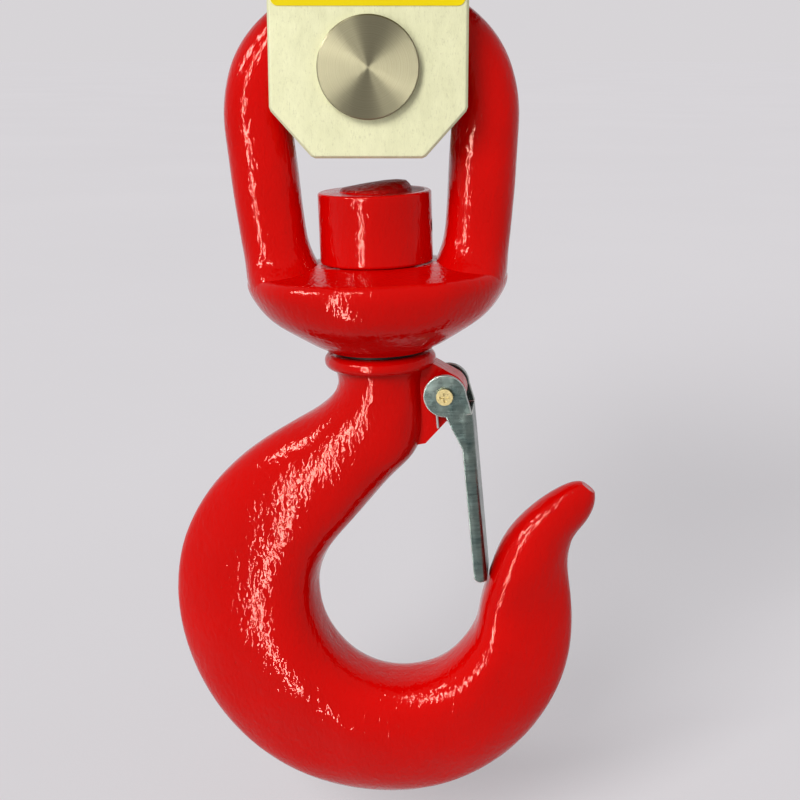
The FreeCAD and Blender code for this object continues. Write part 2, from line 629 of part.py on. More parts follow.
def cable_gland():
    """Sleeve in the front cover that the gauge cable leaves through."""
    start = V(0, BAR_FRONT + GAUGE_COVER_THICK, MIDDLE_Z)
    sleeve = rod(GLAND_DIAMETER, start, Y * -1, GAUGE_COVER_THICK + GLAND_LENGTH)
    collar = rod(GLAND_DIAMETER + 3, V(0, BAR_FRONT - SNUG, MIDDLE_Z), Y * -1, 1.5)
    bore = rod(CABLE_DIAMETER + 2 * SNUG, start, Y * -1, GAUGE_COVER_THICK + GLAND_LENGTH)
    return sleeve.fuse(collar).cut(bore)


def gauge_cable():
    """Cable from the gland, across the front of the bar and into the board's connector."""
    level = CABLE_TURN_Y - CABLE_BEND
    half = CABLE_BEND * math.sin(math.pi / 4)
    first = V(0, CABLE_TURN_Y, MIDDLE_Z)
    second = V(CABLE_BEND, level, MIDDLE_Z)
    third = V(CABLE_BEND + CABLE_RUN, level, MIDDLE_Z)
    fourth = V(CABLE_END.x, level - CABLE_BEND, MIDDLE_Z)
    mid_one = V(CABLE_BEND - half, CABLE_TURN_Y - half, MIDDLE_Z)
    mid_two = V(third.x + half, fourth.y + half, MIDDLE_Z)
    start = V(0, CABLE_START_Y, MIDDLE_Z)
    path = Part.Wire([
        Part.LineSegment(start, first).toShape(),
        Part.Arc(first, mid_one, second).toShape(),
        Part.LineSegment(second, third).toShape(),
        Part.Arc(third, mid_two, fourth).toShape(),
        Part.LineSegment(fourth, CABLE_END).toShape(),
    ])
    profile = Part.Wire(Part.Circle(start, Y, CABLE_DIAMETER / 2).toShape())
    return path.makePipeShell([profile], True, True)


def front_label():
    at = V(0, 0, PIN_Z + LABEL_ABOVE_PIN + LABEL[2] / 2)
    return slab(LABEL[0], (BAR_FRONT - LABEL[1], BAR_FRONT), LABEL[2], LABEL_CORNER, at)


# ---- lower pin --------------------------------------------------------------------------------------------
def lower_pin():
    """Headed cross pin; a flat near its tail takes the keeper plate."""
    head = rod(PIN_HEAD_DIAMETER, V(0, BAR_FRONT - PIN_HEAD_LENGTH, PIN_Z), Y, PIN_HEAD_LENGTH)
    middle = BAR_FRONT - PIN_HEAD_LENGTH / 2
    head = head.makeChamfer(PIN_HEAD_EDGE, [e for e in head.Edges if e.BoundBox.YMax < middle])
    shank = rod(PIN_DIAMETER, V(0, BAR_FRONT, PIN_Z), Y, BAR_DEPTH + PIN_TAIL)
    groove_y = (BAR_BACK, BAR_BACK + KEEPER[1] + 2 * SNUG)
    groove_at = V(0, 0, PIN_Z + PIN_DIAMETER / 2 - KEEPER_BITE + KEEPER[2] / 2)
    groove = centred(2 * PIN_DIAMETER, groove_y, KEEPER[2], groove_at)
    return head.fuse(shank).cut(groove)


def pin_keeper():
    at = V(0, 0, KEEPER_BOLT_Z)
    plate = slab(KEEPER[0], (BAR_BACK + SNUG, BAR_BACK + SNUG + KEEPER[1]), KEEPER[2], KEEPER_CORNER, at)
    for side in (-1, 1):
        hole_at = V(side * KEEPER_BOLT_SPACING / 2, BAR_BACK, KEEPER_BOLT_Z)
        plate = plate.cut(rod(KEEPER_BOLT_DIAMETER + 2 * SNUG, hole_at, Y, 3 * KEEPER[1]))
    return plate


def keeper_bolts():
    bolts = []
    for side in (-1, 1):
        seat = V(side * KEEPER_BOLT_SPACING / 2, BAR_BACK + KEEPER[1] + 2 * SNUG, KEEPER_BOLT_Z)
        head = hexagon(KEEPER_BOLT_HEAD[0], seat, Y, KEEPER_BOLT_HEAD[1])
        bolts.append(head.fuse(rod(KEEPER_BOLT_DIAMETER, seat, Y * -1, KEEPER[1] + KEEPER_BOLT_GRIP)))
    return group(bolts)


# ---- housing ----------------------------------------------------------------------------------------------
def rim_screw_places():
    """Six screws round the joint: four in the corners and one in the middle of each side."""
    x = HOUSING_WIDTH / 2 - RIM_BOSS_INSET
    z = HOUSING_HEIGHT / 2 - RIM_BOSS_INSET
    side_x = HOUSING_WIDTH / 2 - RIM_SIDE_INSET
    corners = [V(sx * x, 0, MIDDLE_Z + sz * z) for sx in (-1, 1) for sz in (-1, 1)]
    return corners + [V(-side_x, 0, MIDDLE_Z), V(side_x, 0, MIDDLE_Z)]


def post_places():
    x = BAR_WIDTH / 2 + BRACKET_PLATE + BRACKET_REACH - POST_DIAMETER
    return [V(side * x, 0, z) for side in (-1, 1) for z in bracket_bolt_heights()]


def edges_at_depth(shape, y):
    """Edges that lie whole in the plane at one depth."""
    return [e for e in shape.Edges if max(abs(e.BoundBox.YMin - y), abs(e.BoundBox.YMax - y)) < 0.01]


def shell(side):
    """One half of the housing, a tray open at the joint; side is -1 for the front, 1 for the back."""
    joint = side * SHELL_GASKET / 2
    outside = side * HOUSING_DEPTH / 2
    inside = outside - side * WALL
    middle = V(0, 0, MIDDLE_Z)
    body = slab(HOUSING_WIDTH, tuple(sorted((joint, outside))), HOUSING_HEIGHT, HOUSING_CORNER, middle)
    body = body.makeFillet(HOUSING_EDGE, edges_at_depth(body, outside))
    hollow = slab(
        HOUSING_WIDTH - 2 * WALL, tuple(sorted((joint, inside))), HOUSING_HEIGHT - 2 * WALL,
        HOUSING_CORNER - WALL, middle,
    )
    body = body.cut(hollow.makeFillet(HOUSING_EDGE - WALL, edges_at_depth(hollow, inside)))
    depth = abs(inside - joint)
    bosses = [rod(RIM_BOSS_DIAMETER, V(p.x, joint, p.z), Y * side, depth) for p in rim_screw_places()]
    body = fused([body] + bosses)
    for lip_z, width in ((TOP_Z, LUG_WIDTH), (BOTTOM_Z, BAR_WIDTH)):
        opening_x = width / 2 + GROMMET_GAP
        opening_y = BAR_DEPTH / 2 + GROMMET_GAP
        body = body.cut(
            block((-opening_x, opening_x), (-opening_y, opening_y), (lip_z - 2 * WALL, lip_z + 2 * WALL))
        )
    return body


def front_shell():
    """Front tray: posts for the brackets, standoff seats, the window's ledge, holes for keys and lights."""
    body = shell(-1)
    bracket_front = -BRACKET_DEPTH / 2
    for p in post_places():
        height = bracket_front - FRONT_INSIDE
        body = body.fuse(rod(POST_DIAMETER, V(p.x, FRONT_INSIDE - 1, p.z), Y, height + 1))
    body = body.removeSplitter()
    for p in post_places():
        at = V(p.x, bracket_front, p.z)
        body = body.cut(rod(POST_SCREW_DIAMETER + 2 * SNUG, at, Y * -1, POST_SCREW_LENGTH + 1))
    for p in rim_screw_places():
        body = body.cut(rod(RIM_SCREW_DIAMETER + 2 * SNUG, V(p.x, 0, p.z), Y * -1, RIM_SCREW_GRIP + 1))
    window_at = V(0, 0, WINDOW_Z)
    ledge_y = FRONT + WINDOW_THICK + WINDOW_SEAL + 2 * SNUG
    pocket_x, pocket_z = WINDOW_WIDTH + 2 * WINDOW_LEDGE, WINDOW_HEIGHT + 2 * WINDOW_LEDGE
    wall_y = (FRONT - 1, FRONT_INSIDE + 1)
    body = body.cut(slab(WINDOW_WIDTH, wall_y, WINDOW_HEIGHT, WINDOW_CORNER, window_at))
    body = body.cut(slab(pocket_x, (FRONT - 1, ledge_y), pocket_z, WINDOW_POCKET_CORNER, window_at))
    for p in bezel_screw_places():
        body = body.cut(rod(BEZEL_SCREW_DIAMETER + 2 * SNUG, V(p.x, FRONT - 1, p.z), Y, WALL + 2))
    for x in key_places():
        body = body.cut(rod(KEY_DIAMETER + 2 * LOOSE, V(x, FRONT - 1, KEY_Z), Y, WALL + 2))
    for p in light_places():
        body = body.cut(rod(LIGHT_DIAMETER + 2 * SNUG, V(p.x, FRONT - 1, p.z), Y, WALL + 2))
    for p in standoff_places():
        body = body.cut(rod(STANDOFF_THREAD + 2 * SNUG, V(p.x, FRONT_INSIDE, p.z), Y * -1, WALL / 2))
    return body


def rear_shell():
    """Rear tray, with the battery opening, bosses for the thumbscrews and the charging socket's hole."""
    body = shell(1)
    for p in rim_screw_places():
        body = body.cut(rod(RIM_SCREW_DIAMETER + 2 * SNUG, V(p.x, 0, p.z), Y, HOUSING_DEPTH))
        body = body.cut(rod(RIM_HEAD_DIAMETER + 2 * SNUG, V(p.x, RIM_SEAT_Y, p.z), Y, HOUSING_DEPTH))
    for x in thumbscrew_places():
        body = body.fuse(rod(POST_DIAMETER, V(x, BACK_INSIDE + 1, MIDDLE_Z), Y * -1, THUMB_BOSS_LENGTH + 1))
    body = body.removeSplitter()
    for x in thumbscrew_places():
        at = V(x, BACK + 1, MIDDLE_Z)
        body = body.cut(rod(THUMBSCREW_DIAMETER + 2 * RUNNING, at, Y * -1, HOUSING_DEPTH / 2))
    opening = tray_opening()
    body = body.cut(slab(opening[0], (BACK_INSIDE - 1, BACK + 1), opening[1], TRAY_CORNER, V(0, 0, MIDDLE_Z)))
    for p in tray_screw_places():
        body = body.cut(rod(TRAY_SCREW_DIAMETER + 2 * SNUG, V(p.x, BACK_INSIDE, p.z), Y, WALL * 0.7))
    body = body.cut(rod(SOCKET_DIAMETER + 2 * SNUG, SOCKET_AT + X, X * -1, WALL + 2))
    return body


def shell_gasket():
    """Flat seal in the joint, cut away where the bar passes and holed for the screws."""
    y = (-SHELL_GASKET / 2, SHELL_GASKET / 2)
    middle = V(0, 0, MIDDLE_Z)
    ring = slab(HOUSING_WIDTH - 1, y, HOUSING_HEIGHT - 1, HOUSING_CORNER - 0.5, middle)
    inner = slab(HOUSING_WIDTH - 2 * WALL, y, HOUSING_HEIGHT - 2 * WALL, HOUSING_CORNER - WALL, middle)
    ring = ring.cut(inner)
    pads = [rod(RIM_BOSS_DIAMETER, V(p.x, y[0], p.z), Y, SHELL_GASKET) for p in rim_screw_places()]
    ring = fused([ring] + pads)
    for lip_z, width in ((TOP_Z, LUG_WIDTH), (BOTTOM_Z, BAR_WIDTH)):
        ring = ring.cut(centred(width + 2 * GROMMET_GAP, (-1, 1), 4 * WALL, V(0, 0, lip_z)))
    for p in rim_screw_places():
        ring = ring.cut(rod(RIM_SCREW_DIAMETER + 2 * SNUG, V(p.x, y[0], p.z), Y, SHELL_GASKET))
    return ring


def shell_screws():
    length = RIM_SEAT_Y + RIM_SCREW_GRIP
    screws = []
    for p in rim_screw_places():
        seat = V(p.x, RIM_SEAT_Y + SNUG, p.z)
        screws.append(screw(
            RIM_SCREW_DIAMETER, RIM_HEAD_DIAMETER, RIM_HEAD_LENGTH, seat, Y * -1, length, RIM_SCREW_KEY,
        ))
    return group(screws)


def grommet(lip_z, inward, width):
    """Rubber seal round the bar where it passes the housing; inward points into the housing."""
    opening = (width + 2 * GROMMET_GAP - 2 * SNUG, BAR_DEPTH + 2 * GROMMET_GAP - 2 * SNUG)
    lip = (opening[0] + 2 * GROMMET_LIP, opening[1] + 2 * GROMMET_LIP)
    outer_face = lip_z - inward * (GROMMET_LIP_THICK + SNUG)
    inner_face = lip_z + inward * (WALL + GROMMET_LIP_THICK + SNUG)

    def ring(size, z):
        low, high = sorted(z)
        plate = block((-size[0] / 2, size[0] / 2), (-size[1] / 2, size[1] / 2), (low, high))
        return plate.makeFillet(GROMMET_GAP, edges_along(plate, Z))

    half_x, half_y = opening[0] / 2, opening[1] / 2
    body = fused([
        block((-half_x, half_x), (-half_y, half_y), tuple(sorted((outer_face, inner_face)))),
        ring(lip, (outer_face, lip_z - inward * SNUG)),
        ring(lip, (inner_face, lip_z + inward * (WALL + SNUG))),
    ])
    clear_x, clear_y = width / 2 + SNUG, BAR_DEPTH / 2 + SNUG
    whole_z = (BOTTOM_Z - 4 * WALL, TOP_Z + 4 * WALL)
    return body.cut(block((-clear_x, clear_x), (-clear_y, clear_y), whole_z))


def top_grommet():
    return grommet(TOP_Z, -1, LUG_WIDTH)


def bottom_grommet():
    return grommet(BOTTOM_Z, 1, BAR_WIDTH)


# ---- bracket ----------------------------------------------------------------------------------------------
def cell_brackets():
    """Folded plates bolted to the bar's sides, which the front shell's posts are screwed to."""
    near = BAR_WIDTH / 2
    z = (MIDDLE_Z - BRACKET_HEIGHT / 2, MIDDLE_Z + BRACKET_HEIGHT / 2)
    front = -BRACKET_DEPTH / 2
    web = block((near, near + BRACKET_PLATE), (front, -front), z)
    wing = block((near, near + BRACKET_PLATE + BRACKET_REACH), (front, front + BRACKET_PLATE), z)
    plate = web.fuse(wing).removeSplitter()
    for height in bracket_bolt_heights():
        plate = plate.cut(rod(BRACKET_BOLT_DIAMETER + 2 * SNUG, V(0, 0, height), X, 2 * BAR_WIDTH))
    for p in post_places():
        at = V(abs(p.x), front - 1, p.z)
        plate = plate.cut(rod(POST_SCREW_DIAMETER + 2 * SNUG, at, Y, BRACKET_PLATE + 2))
    return group([plate, mirrored_x(plate)])


def bracket_bolts():
    seat = BAR_WIDTH / 2 + BRACKET_PLATE + SNUG
    length = BRACKET_PLATE + BRACKET_BOLT_GRIP
    bolts = []
    for side in (-1, 1):
        for z in bracket_bolt_heights():
            at = V(side * seat, 0, z)
            bolts.append(screw(
                BRACKET_BOLT_DIAMETER, *BRACKET_BOLT_HEAD, at, X * -side, length, BRACKET_BOLT_KEY,
            ))
    return group(bolts)


def bracket_screws():
    seat = -BRACKET_DEPTH / 2 + BRACKET_PLATE + SNUG
    length = BRACKET_PLATE + POST_SCREW_LENGTH
    return group([
        screw(POST_SCREW_DIAMETER, *POST_SCREW_HEAD, V(p.x, seat, p.z), Y * -1, length) for p in post_places()
    ])


# ---- display and board ------------------------------------------------------------------------------------
def bezel_screw_places():
    x = (WINDOW_WIDTH + BEZEL_BAND) / 2
    z = (WINDOW_HEIGHT + BEZEL_BAND) / 2
    return [V(sx * x, 0, WINDOW_Z + sz * z) for sx in (-1, 1) for sz in (-1, 1)]


def standoff_places():
    x = BOARD[0] / 2 - STANDOFF_INSET[0]
    z = BOARD[2] / 2 - STANDOFF_INSET[1]
    return [V(sx * x, 0, MIDDLE_Z + sz * z) for sx in (-1, 1) for sz in (-1, 1)]


def key_places():
    return [(i - 1.5) * KEY_PITCH for i in range(4)]


def light_places():
    return [V((i - 1) * LIGHT_PITCH, 0, MIDDLE_Z - LIGHT_BELOW_MIDDLE) for i in range(3)]


def display_bezel():
    at = V(0, 0, WINDOW_Z)
    y = (FRONT - BEZEL_THICK, FRONT)
    frame = slab(WINDOW_WIDTH + 2 * BEZEL_BAND, y, WINDOW_HEIGHT + 2 * BEZEL_BAND, BEZEL_CORNER, at)
    front_edges = [e for e in frame.Edges if e.BoundBox.YMax < y[0] + 0.01]
    frame = frame.makeFillet(BEZEL_EDGE, front_edges)
    frame = frame.cut(slab(WINDOW_WIDTH, (y[0] - 1, y[1] + 1), WINDOW_HEIGHT, WINDOW_CORNER, at))
    for p in bezel_screw_places():
        frame = frame.cut(rod(BEZEL_SCREW_DIAMETER + 2 * SNUG, V(p.x, y[0] - 1, p.z), Y, BEZEL_THICK + 2))
        recess = BEZEL_SCREW_HEAD[0] + 0.4
        frame = frame.cut(rod(recess, V(p.x, y[0] - 1, p.z), Y, 1 + BEZEL_SCREW_HEAD[1]))
    return frame


def bezel_screws():
    seat = FRONT - BEZEL_THICK + BEZEL_SCREW_HEAD[1] - SNUG
    return group([
        screw(BEZEL_SCREW_DIAMETER, *BEZEL_SCREW_HEAD, V(p.x, seat, p.z), Y, BEZEL_THICK + WALL)
        for p in bezel_screw_places()
    ])


def window_plate(y, opening=0.0):
    at = V(0, 0, WINDOW_Z)
    margin = 2 * WINDOW_LEDGE - 2 * SNUG
    plate = slab(WINDOW_WIDTH + margin, y, WINDOW_HEIGHT + margin, WINDOW_POCKET_CORNER - SNUG, at)
    if opening:
        plate = plate.cut(slab(WINDOW_WIDTH, y, WINDOW_HEIGHT, opening, at))
    return plate


def window_seal():
    start = FRONT + WINDOW_THICK + SNUG
    return window_plate((start + SNUG, start + SNUG + WINDOW_SEAL), WINDOW_CORNER)


def display_window():
    return window_plate((FRONT + SNUG, FRONT + SNUG + WINDOW_THICK))


def digit_bars(centre):
    """Seven raised light bars of one figure, and its point."""
    half = DIGIT_HEIGHT / 4
    wide = DIGIT_HEIGHT * DIGIT_WIDTH_SHARE
    y = (BOARD_FRONT - DIGIT_MODULE[1] - DIGIT_PROUD, BOARD_FRONT - DIGIT_MODULE[1])
    bars = []
    for level in (-2, 0, 2):
        bars.append(centred(wide - DIGIT_SEGMENT, y, DIGIT_SEGMENT, centre + Z * level * half))
    for side in (-1, 1):
        for level in (-1, 1):
            place = centre + V(side * wide / 2, 0, level * half)
            bars.append(centred(DIGIT_SEGMENT, y, 2 * half - DIGIT_SEGMENT, place))
    point = centre + V(wide / 2 + DIGIT_SEGMENT * 1.1, 0, -2 * half)
    bars.append(rod(DIGIT_SEGMENT, V(point.x, y[0], point.z), Y, y[1] - y[0]))
    return bars


def digit_places():
    return [V((i - (DIGIT_COUNT - 1) / 2) * DIGIT_PITCH, 0, WINDOW_Z) for i in range(DIGIT_COUNT)]


def digit_module():
    y = (BOARD_FRONT - DIGIT_MODULE[1], BOARD_FRONT)
    return centred(DIGIT_MODULE[0], y, DIGIT_MODULE[2], V(0, 0, WINDOW_Z))


def digit_segments():
    return group([bar for place in digit_places() for bar in digit_bars(place)])


def main_board():
    board = centred(BOARD[0], (BOARD_FRONT, BOARD_BACK), BOARD[2], V(0, 0, MIDDLE_Z))
    for p in standoff_places():
        board = board.cut(rod(STANDOFF_THREAD + 2 * SNUG, V(p.x, BOARD_FRONT, p.z), Y, BOARD[1]))
    return board


def board_standoffs():
    posts = []
    for p in standoff_places():
        post = hexagon(STANDOFF_FLATS, V(p.x, FRONT_INSIDE, p.z), Y, BOARD_SPACE)
        stud = rod(STANDOFF_THREAD, V(p.x, FRONT_INSIDE, p.z), Y * -1, WALL / 2 - SNUG)
        bore = rod(STANDOFF_THREAD + 2 * SNUG, V(p.x, BOARD_FRONT, p.z), Y * -1, BOARD_SPACE * 0.7)
        posts.append(post.fuse(stud).cut(bore))
    return group(posts)


def board_screws():
    seat = BOARD_BACK + SNUG
    length = BOARD[1] + BOARD_SPACE * 0.6
    return group([
        screw(STANDOFF_THREAD, *BOARD_SCREW_HEAD, V(p.x, seat, p.z), Y * -1, length)
        for p in standoff_places()
    ])


def board_parts():
    """What is soldered to the board: connector, shield can, chips, sounder, capacitors, and the lamps."""
    back = BOARD_BACK
    width, rise, height = CONNECTOR
    pieces = [centred(width, (back, back + rise), height, CABLE_END)]
    for width, rise, height, x, z in FLAT_PARTS:
        pieces.append(centred(width, (back, back + rise), height, V(x, 0, MIDDLE_Z + z)))
    for diameter, rise, x, z in ROUND_PARTS:
        pieces.append(rod(diameter, V(x, back, MIDDLE_Z + z), Y, rise))
    for p in light_places():
        pieces.append(centred(LAMP_WIDTH, (BOARD_FRONT - LAMP_THICK, BOARD_FRONT), LAMP_WIDTH, p))
    return group(pieces)


def key_switches():
    width, thick, height = KEY_SWITCH
    switches = []
    for x in key_places():
        body = centred(width, (BOARD_FRONT - thick, BOARD_FRONT), height, V(x, 0, KEY_Z))
        button = rod(SWITCH_BUTTON[0], V(x, BOARD_FRONT - thick, KEY_Z), Y * -1, SWITCH_BUTTON[1])
        switches.append(body.fuse(button))
    return group(switches)


def key(x):
    """Push key: a domed cap, a flange behind the wall and a stem that meets the switch."""
    flange_front = FRONT_INSIDE + LOOSE
    cap_front = FRONT - KEY_PROUD
    cap = rod(KEY_DIAMETER, V(x, cap_front, KEY_Z), Y, flange_front - cap_front)
    cap = cap.makeFillet(KEY_EDGE, [e for e in cap.Edges if e.BoundBox.YMax < cap_front + 0.01])
    flange = rod(KEY_FLANGE_DIAMETER, V(x, flange_front, KEY_Z), Y, KEY_FLANGE_THICK)
    stem_end = BOARD_FRONT - KEY_SWITCH[1] - SWITCH_BUTTON[1] - KEY_TRAVEL - LOOSE
    stem_start = flange_front + KEY_FLANGE_THICK
    stem = rod(KEY_STEM_DIAMETER, V(x, stem_start - 0.5, KEY_Z), Y, max(stem_end - stem_start, 0.2) + 0.5)
    return fused([cap, flange, stem])


def status_lights():
    """Clear rods that lead the light of three lamps on the board through the front wall."""
    lenses = []
    end = BOARD_FRONT - LAMP_THICK - LOOSE
    for p in light_places():
        lens = rod(LIGHT_DIAMETER, V(p.x, FRONT - LIGHT_PROUD, p.z), Y, end - FRONT + LIGHT_PROUD)
        front_edges = [e for e in lens.Edges if e.BoundBox.YMax < FRONT - LIGHT_PROUD / 2]
        lens = lens.makeFillet(LIGHT_EDGE, front_edges)
        flange = rod(LIGHT_DIAMETER + LIGHT_FLANGE[0], V(p.x, FRONT_INSIDE, p.z), Y, LIGHT_FLANGE[1])
        lenses.append(lens.fuse(flange))
    return group(lenses)


# ---- battery ----------------------------------------------------------------------------------------------
def tray_opening():
    return (BATTERY[0] + 2 * BATTERY_PLAY, BATTERY[2] + 2 * BATTERY_PLAY)


def tray_screw_places():
    x, z = tray_opening()
    inset = TRAY_WALL + TRAY_FLANGE / 2
    reach = x / 2 - TRAY_SCREW_INSET
    return [V(side * reach, 0, MIDDLE_Z + up * (z / 2 + inset)) for side in (-1, 1) for up in (-1, 1)]


def thumbscrew_places():
    x = tray_opening()[0] / 2 + COVER_BORDER * 0.6
    return [-x, x]


def battery_tray():
    """Open box behind the wall, hung from a flange."""
    x, z = tray_opening()
    at = V(0, 0, MIDDLE_Z)
    back = BACK_INSIDE
    floor = back - TRAY_DEPTH
    box = slab(x + 2 * TRAY_WALL, (floor - TRAY_WALL, back), z + 2 * TRAY_WALL, TRAY_CORNER + TRAY_WALL, at)
    flange_x = x + 2 * TRAY_WALL
    flange_z = z + 2 * (TRAY_WALL + TRAY_FLANGE)
    flange = slab(flange_x, (back - TRAY_FLANGE_THICK, back), flange_z, TRAY_CORNER + TRAY_WALL, at)
    tray = box.fuse(flange).cut(slab(x, (floor, back), z, TRAY_CORNER, at)).removeSplitter()
    for p in tray_screw_places():
        tray = tray.cut(rod(TRAY_SCREW_DIAMETER + 2 * SNUG, V(p.x, back, p.z), Y * -1, TRAY_DEPTH / 4))
    for p in terminal_places():
        tray = tray.cut(rod(TERMINAL_DIAMETER + 2 * SNUG, V(p.x, floor + 1, p.z), Y * -1, TRAY_WALL + 2))
    return tray


def terminal_places():
    return [V(side * BATTERY[0] / 4, 0, MIDDLE_Z + BATTERY[2] / 3) for side in (-1, 1)]


def battery_terminals():
    """Contacts through the tray's floor that bear on the pack."""
    floor = BACK_INSIDE - TRAY_DEPTH
    contacts = []
    for p in terminal_places():
        start = floor - TRAY_WALL - TERMINAL_BEHIND
        pin = rod(TERMINAL_DIAMETER, V(p.x, start, p.z), Y, floor + BATTERY_PLAY - SNUG - start)
        wider, thick = TERMINAL_FLANGE
        flange = rod(TERMINAL_DIAMETER + wider, V(p.x, floor - TRAY_WALL - thick, p.z), Y, thick)
        contacts.append(pin.fuse(flange))
    return group(contacts)


def tray_screws():
    seat = BACK_INSIDE - TRAY_FLANGE_THICK - SNUG
    length = TRAY_FLANGE_THICK + WALL * 0.6
    return group([
        screw(TRAY_SCREW_DIAMETER, *TRAY_SCREW_HEAD, V(p.x, seat, p.z), Y, length)
        for p in tray_screw_places()
    ])


def battery_pack():
    """Two rows of round cells side by side in a shrunk sleeve."""
    back = BACK_INSIDE - BATTERY_PLAY
    front = back - BATTERY[1]
    count = int(2 * BATTERY[0] / BATTERY[1])
    pitch = BATTERY[0] / count
    low = MIDDLE_Z - BATTERY[2] / 2
    cells = []
    for i in range(count):
        x = -BATTERY[0] / 2 + pitch * (i + 0.5)
        for y in (front + BATTERY[1] / 4, back - BATTERY[1] / 4):
            cells.append(rod(BATTERY[1] / 2, V(x, y, low), Z, BATTERY[2]))
    core_x = BATTERY[0] / 2 - BATTERY[1] / 4
    core = block((-core_x, core_x), (front + SLEEVE_DIP, back - SLEEVE_DIP), (low, low + BATTERY[2]))
    ends_x = BATTERY[0] / 2 - (pitch - BATTERY[1] / 2) / 2
    ends_y = (front + BATTERY[1] / 4, back - BATTERY[1] / 4)
    ends = block((-ends_x, ends_x), ends_y, (low, low + BATTERY[2]))
    return fused([core, ends] + cells)


def cover_size():
    x, z = tray_opening()
    return (x + 2 * COVER_BORDER, z + 2 * COVER_LAP)


def battery_seal():
    x, z = cover_size()
    at = V(0, 0, MIDDLE_Z)
    y = (BACK, BACK + COVER_SEAL)
    inner = tray_opening()
    seal = slab(x - 2 * SEAL_INSET, y, z - 2 * SEAL_INSET, COVER_CORNER - SEAL_INSET, at)
    seal = seal.cut(slab(inner[0], y, inner[1], TRAY_CORNER, at))
    for place in thumbscrew_places():
        seal = seal.cut(rod(THUMBSCREW_DIAMETER + 2 * LOOSE, V(place, BACK, MIDDLE_Z), Y, COVER_SEAL))
    return seal


def battery_cover():
    """Rear cover: a plate with a shallow crown, a rib that enters the opening and two screw holes."""
    x, z = cover_size()
    at = V(0, 0, MIDDLE_Z)
    start = BACK + COVER_SEAL
    plate = slab(x, (start, start + COVER_THICK), z, COVER_CORNER, at)
    outer_edges = [e for e in plate.Edges if e.BoundBox.YMin > start + COVER_THICK - 0.01]
    plate = plate.makeFillet(COVER_EDGE, outer_edges)
    inner = tray_opening()
    rib_y, thinner = (BACK_INSIDE, start), 2 * (LOOSE + COVER_RIB)
    rib_out = slab(inner[0] - 2 * LOOSE, rib_y, inner[1] - 2 * LOOSE, TRAY_CORNER - LOOSE, at)
    rib_in = slab(inner[0] - thinner, rib_y, inner[1] - thinner, TRAY_CORNER / 2, at)
    plate = plate.fuse(rib_out.cut(rib_in)).removeSplitter()
    for place in thumbscrew_places():
        at = V(place, BACK, MIDDLE_Z)
        plate = plate.cut(rod(THUMBSCREW_DIAMETER + 2 * RUNNING, at, Y, COVER_THICK + COVER_SEAL + 1))
    return plate


def thumbscrew(x):
    """Hand screw with a fluted knob."""
    seat = BACK + COVER_SEAL + COVER_THICK + LOOSE
    knob = rod(THUMB_KNOB_DIAMETER, V(x, seat, MIDDLE_Z), Y, THUMB_KNOB_LENGTH)
    for i in range(THUMB_FLUTES):
        angle = 2 * math.pi * i / THUMB_FLUTES
        offset = V(math.cos(angle), 0, math.sin(angle)) * (THUMB_KNOB_DIAMETER / 2 + FLUTE_OUT)
        start = V(x, seat + FLUTE_START, MIDDLE_Z) + offset
        knob = knob.cut(rod(FLUTE_DIAMETER, start, Y, THUMB_KNOB_LENGTH))
    reach = COVER_SEAL + COVER_THICK + LOOSE + WALL + THUMB_BOSS_LENGTH
    return knob.fuse(rod(THUMBSCREW_DIAMETER, V(x, seat, MIDDLE_Z), Y * -1, reach))


# ---- charging socket --------------------------------------------------------------------------------------
def charge_socket():
    """Round socket with a centre contact, its flange outside the wall."""
    barrel = rod(SOCKET_DIAMETER, SOCKET_AT, X * -1, SOCKET_LENGTH)
    flange = rod(SOCKET_FLANGE_DIAMETER, SOCKET_AT, X, SOCKET_FLANGE_THICK)
    bore_depth = SOCKET_FLANGE_THICK + SOCKET_LENGTH * 0.6
    mouth = SOCKET_AT + X * SOCKET_FLANGE_THICK
    body = barrel.fuse(flange).cut(rod(SOCKET_BORE, mouth, X * -1, bore_depth))
    pin = rod(SOCKET_PIN[0], mouth - X * bore_depth, X, bore_depth - SOCKET_PIN[1])
    return body.fuse(pin).removeSplitter()


def socket_nut():
    seat = SOCKET_AT - X * (WALL + SNUG)
    nut = hexagon(SOCKET_FLANGE_DIAMETER, seat, X * -1, SOCKET_NUT_LENGTH)
    return nut.cut(rod(SOCKET_DIAMETER + 2 * SNUG, seat, X * -1, SOCKET_NUT_LENGTH))


def socket_cap():
    """Rubber cap on an arm with a knuckle; a short plug enters the socket."""
    seat = V(CAP_X, SOCKET_AT.y, SOCKET_AT.z)
    disc = rod(SOCKET_FLANGE_DIAMETER, seat, X, CAP_THICK)
    plug = rod(SOCKET_BORE - CAP_PLUG[0], seat, X * -1, CAP_PLUG[1])
    arm_z = (CAP_AXIS.z - CAP_KNUCKLE_LENGTH / 2, CAP_AXIS.z + CAP_KNUCKLE_LENGTH / 2)
    arm = block((CAP_X, CAP_X + CAP_THICK), (SOCKET_AT.y, CAP_AXIS.y), arm_z)
    foot = CAP_AXIS - Z * CAP_KNUCKLE_LENGTH / 2
    knuckle = rod(2 * CAP_KNUCKLE_RADIUS, foot, Z, CAP_KNUCKLE_LENGTH)
    body = fused([disc, plug, arm, knuckle])
    return body.cut(rod(2 * (CAP_PIN_RADIUS + RUNNING), foot - Z, Z, CAP_KNUCKLE_LENGTH + 2))


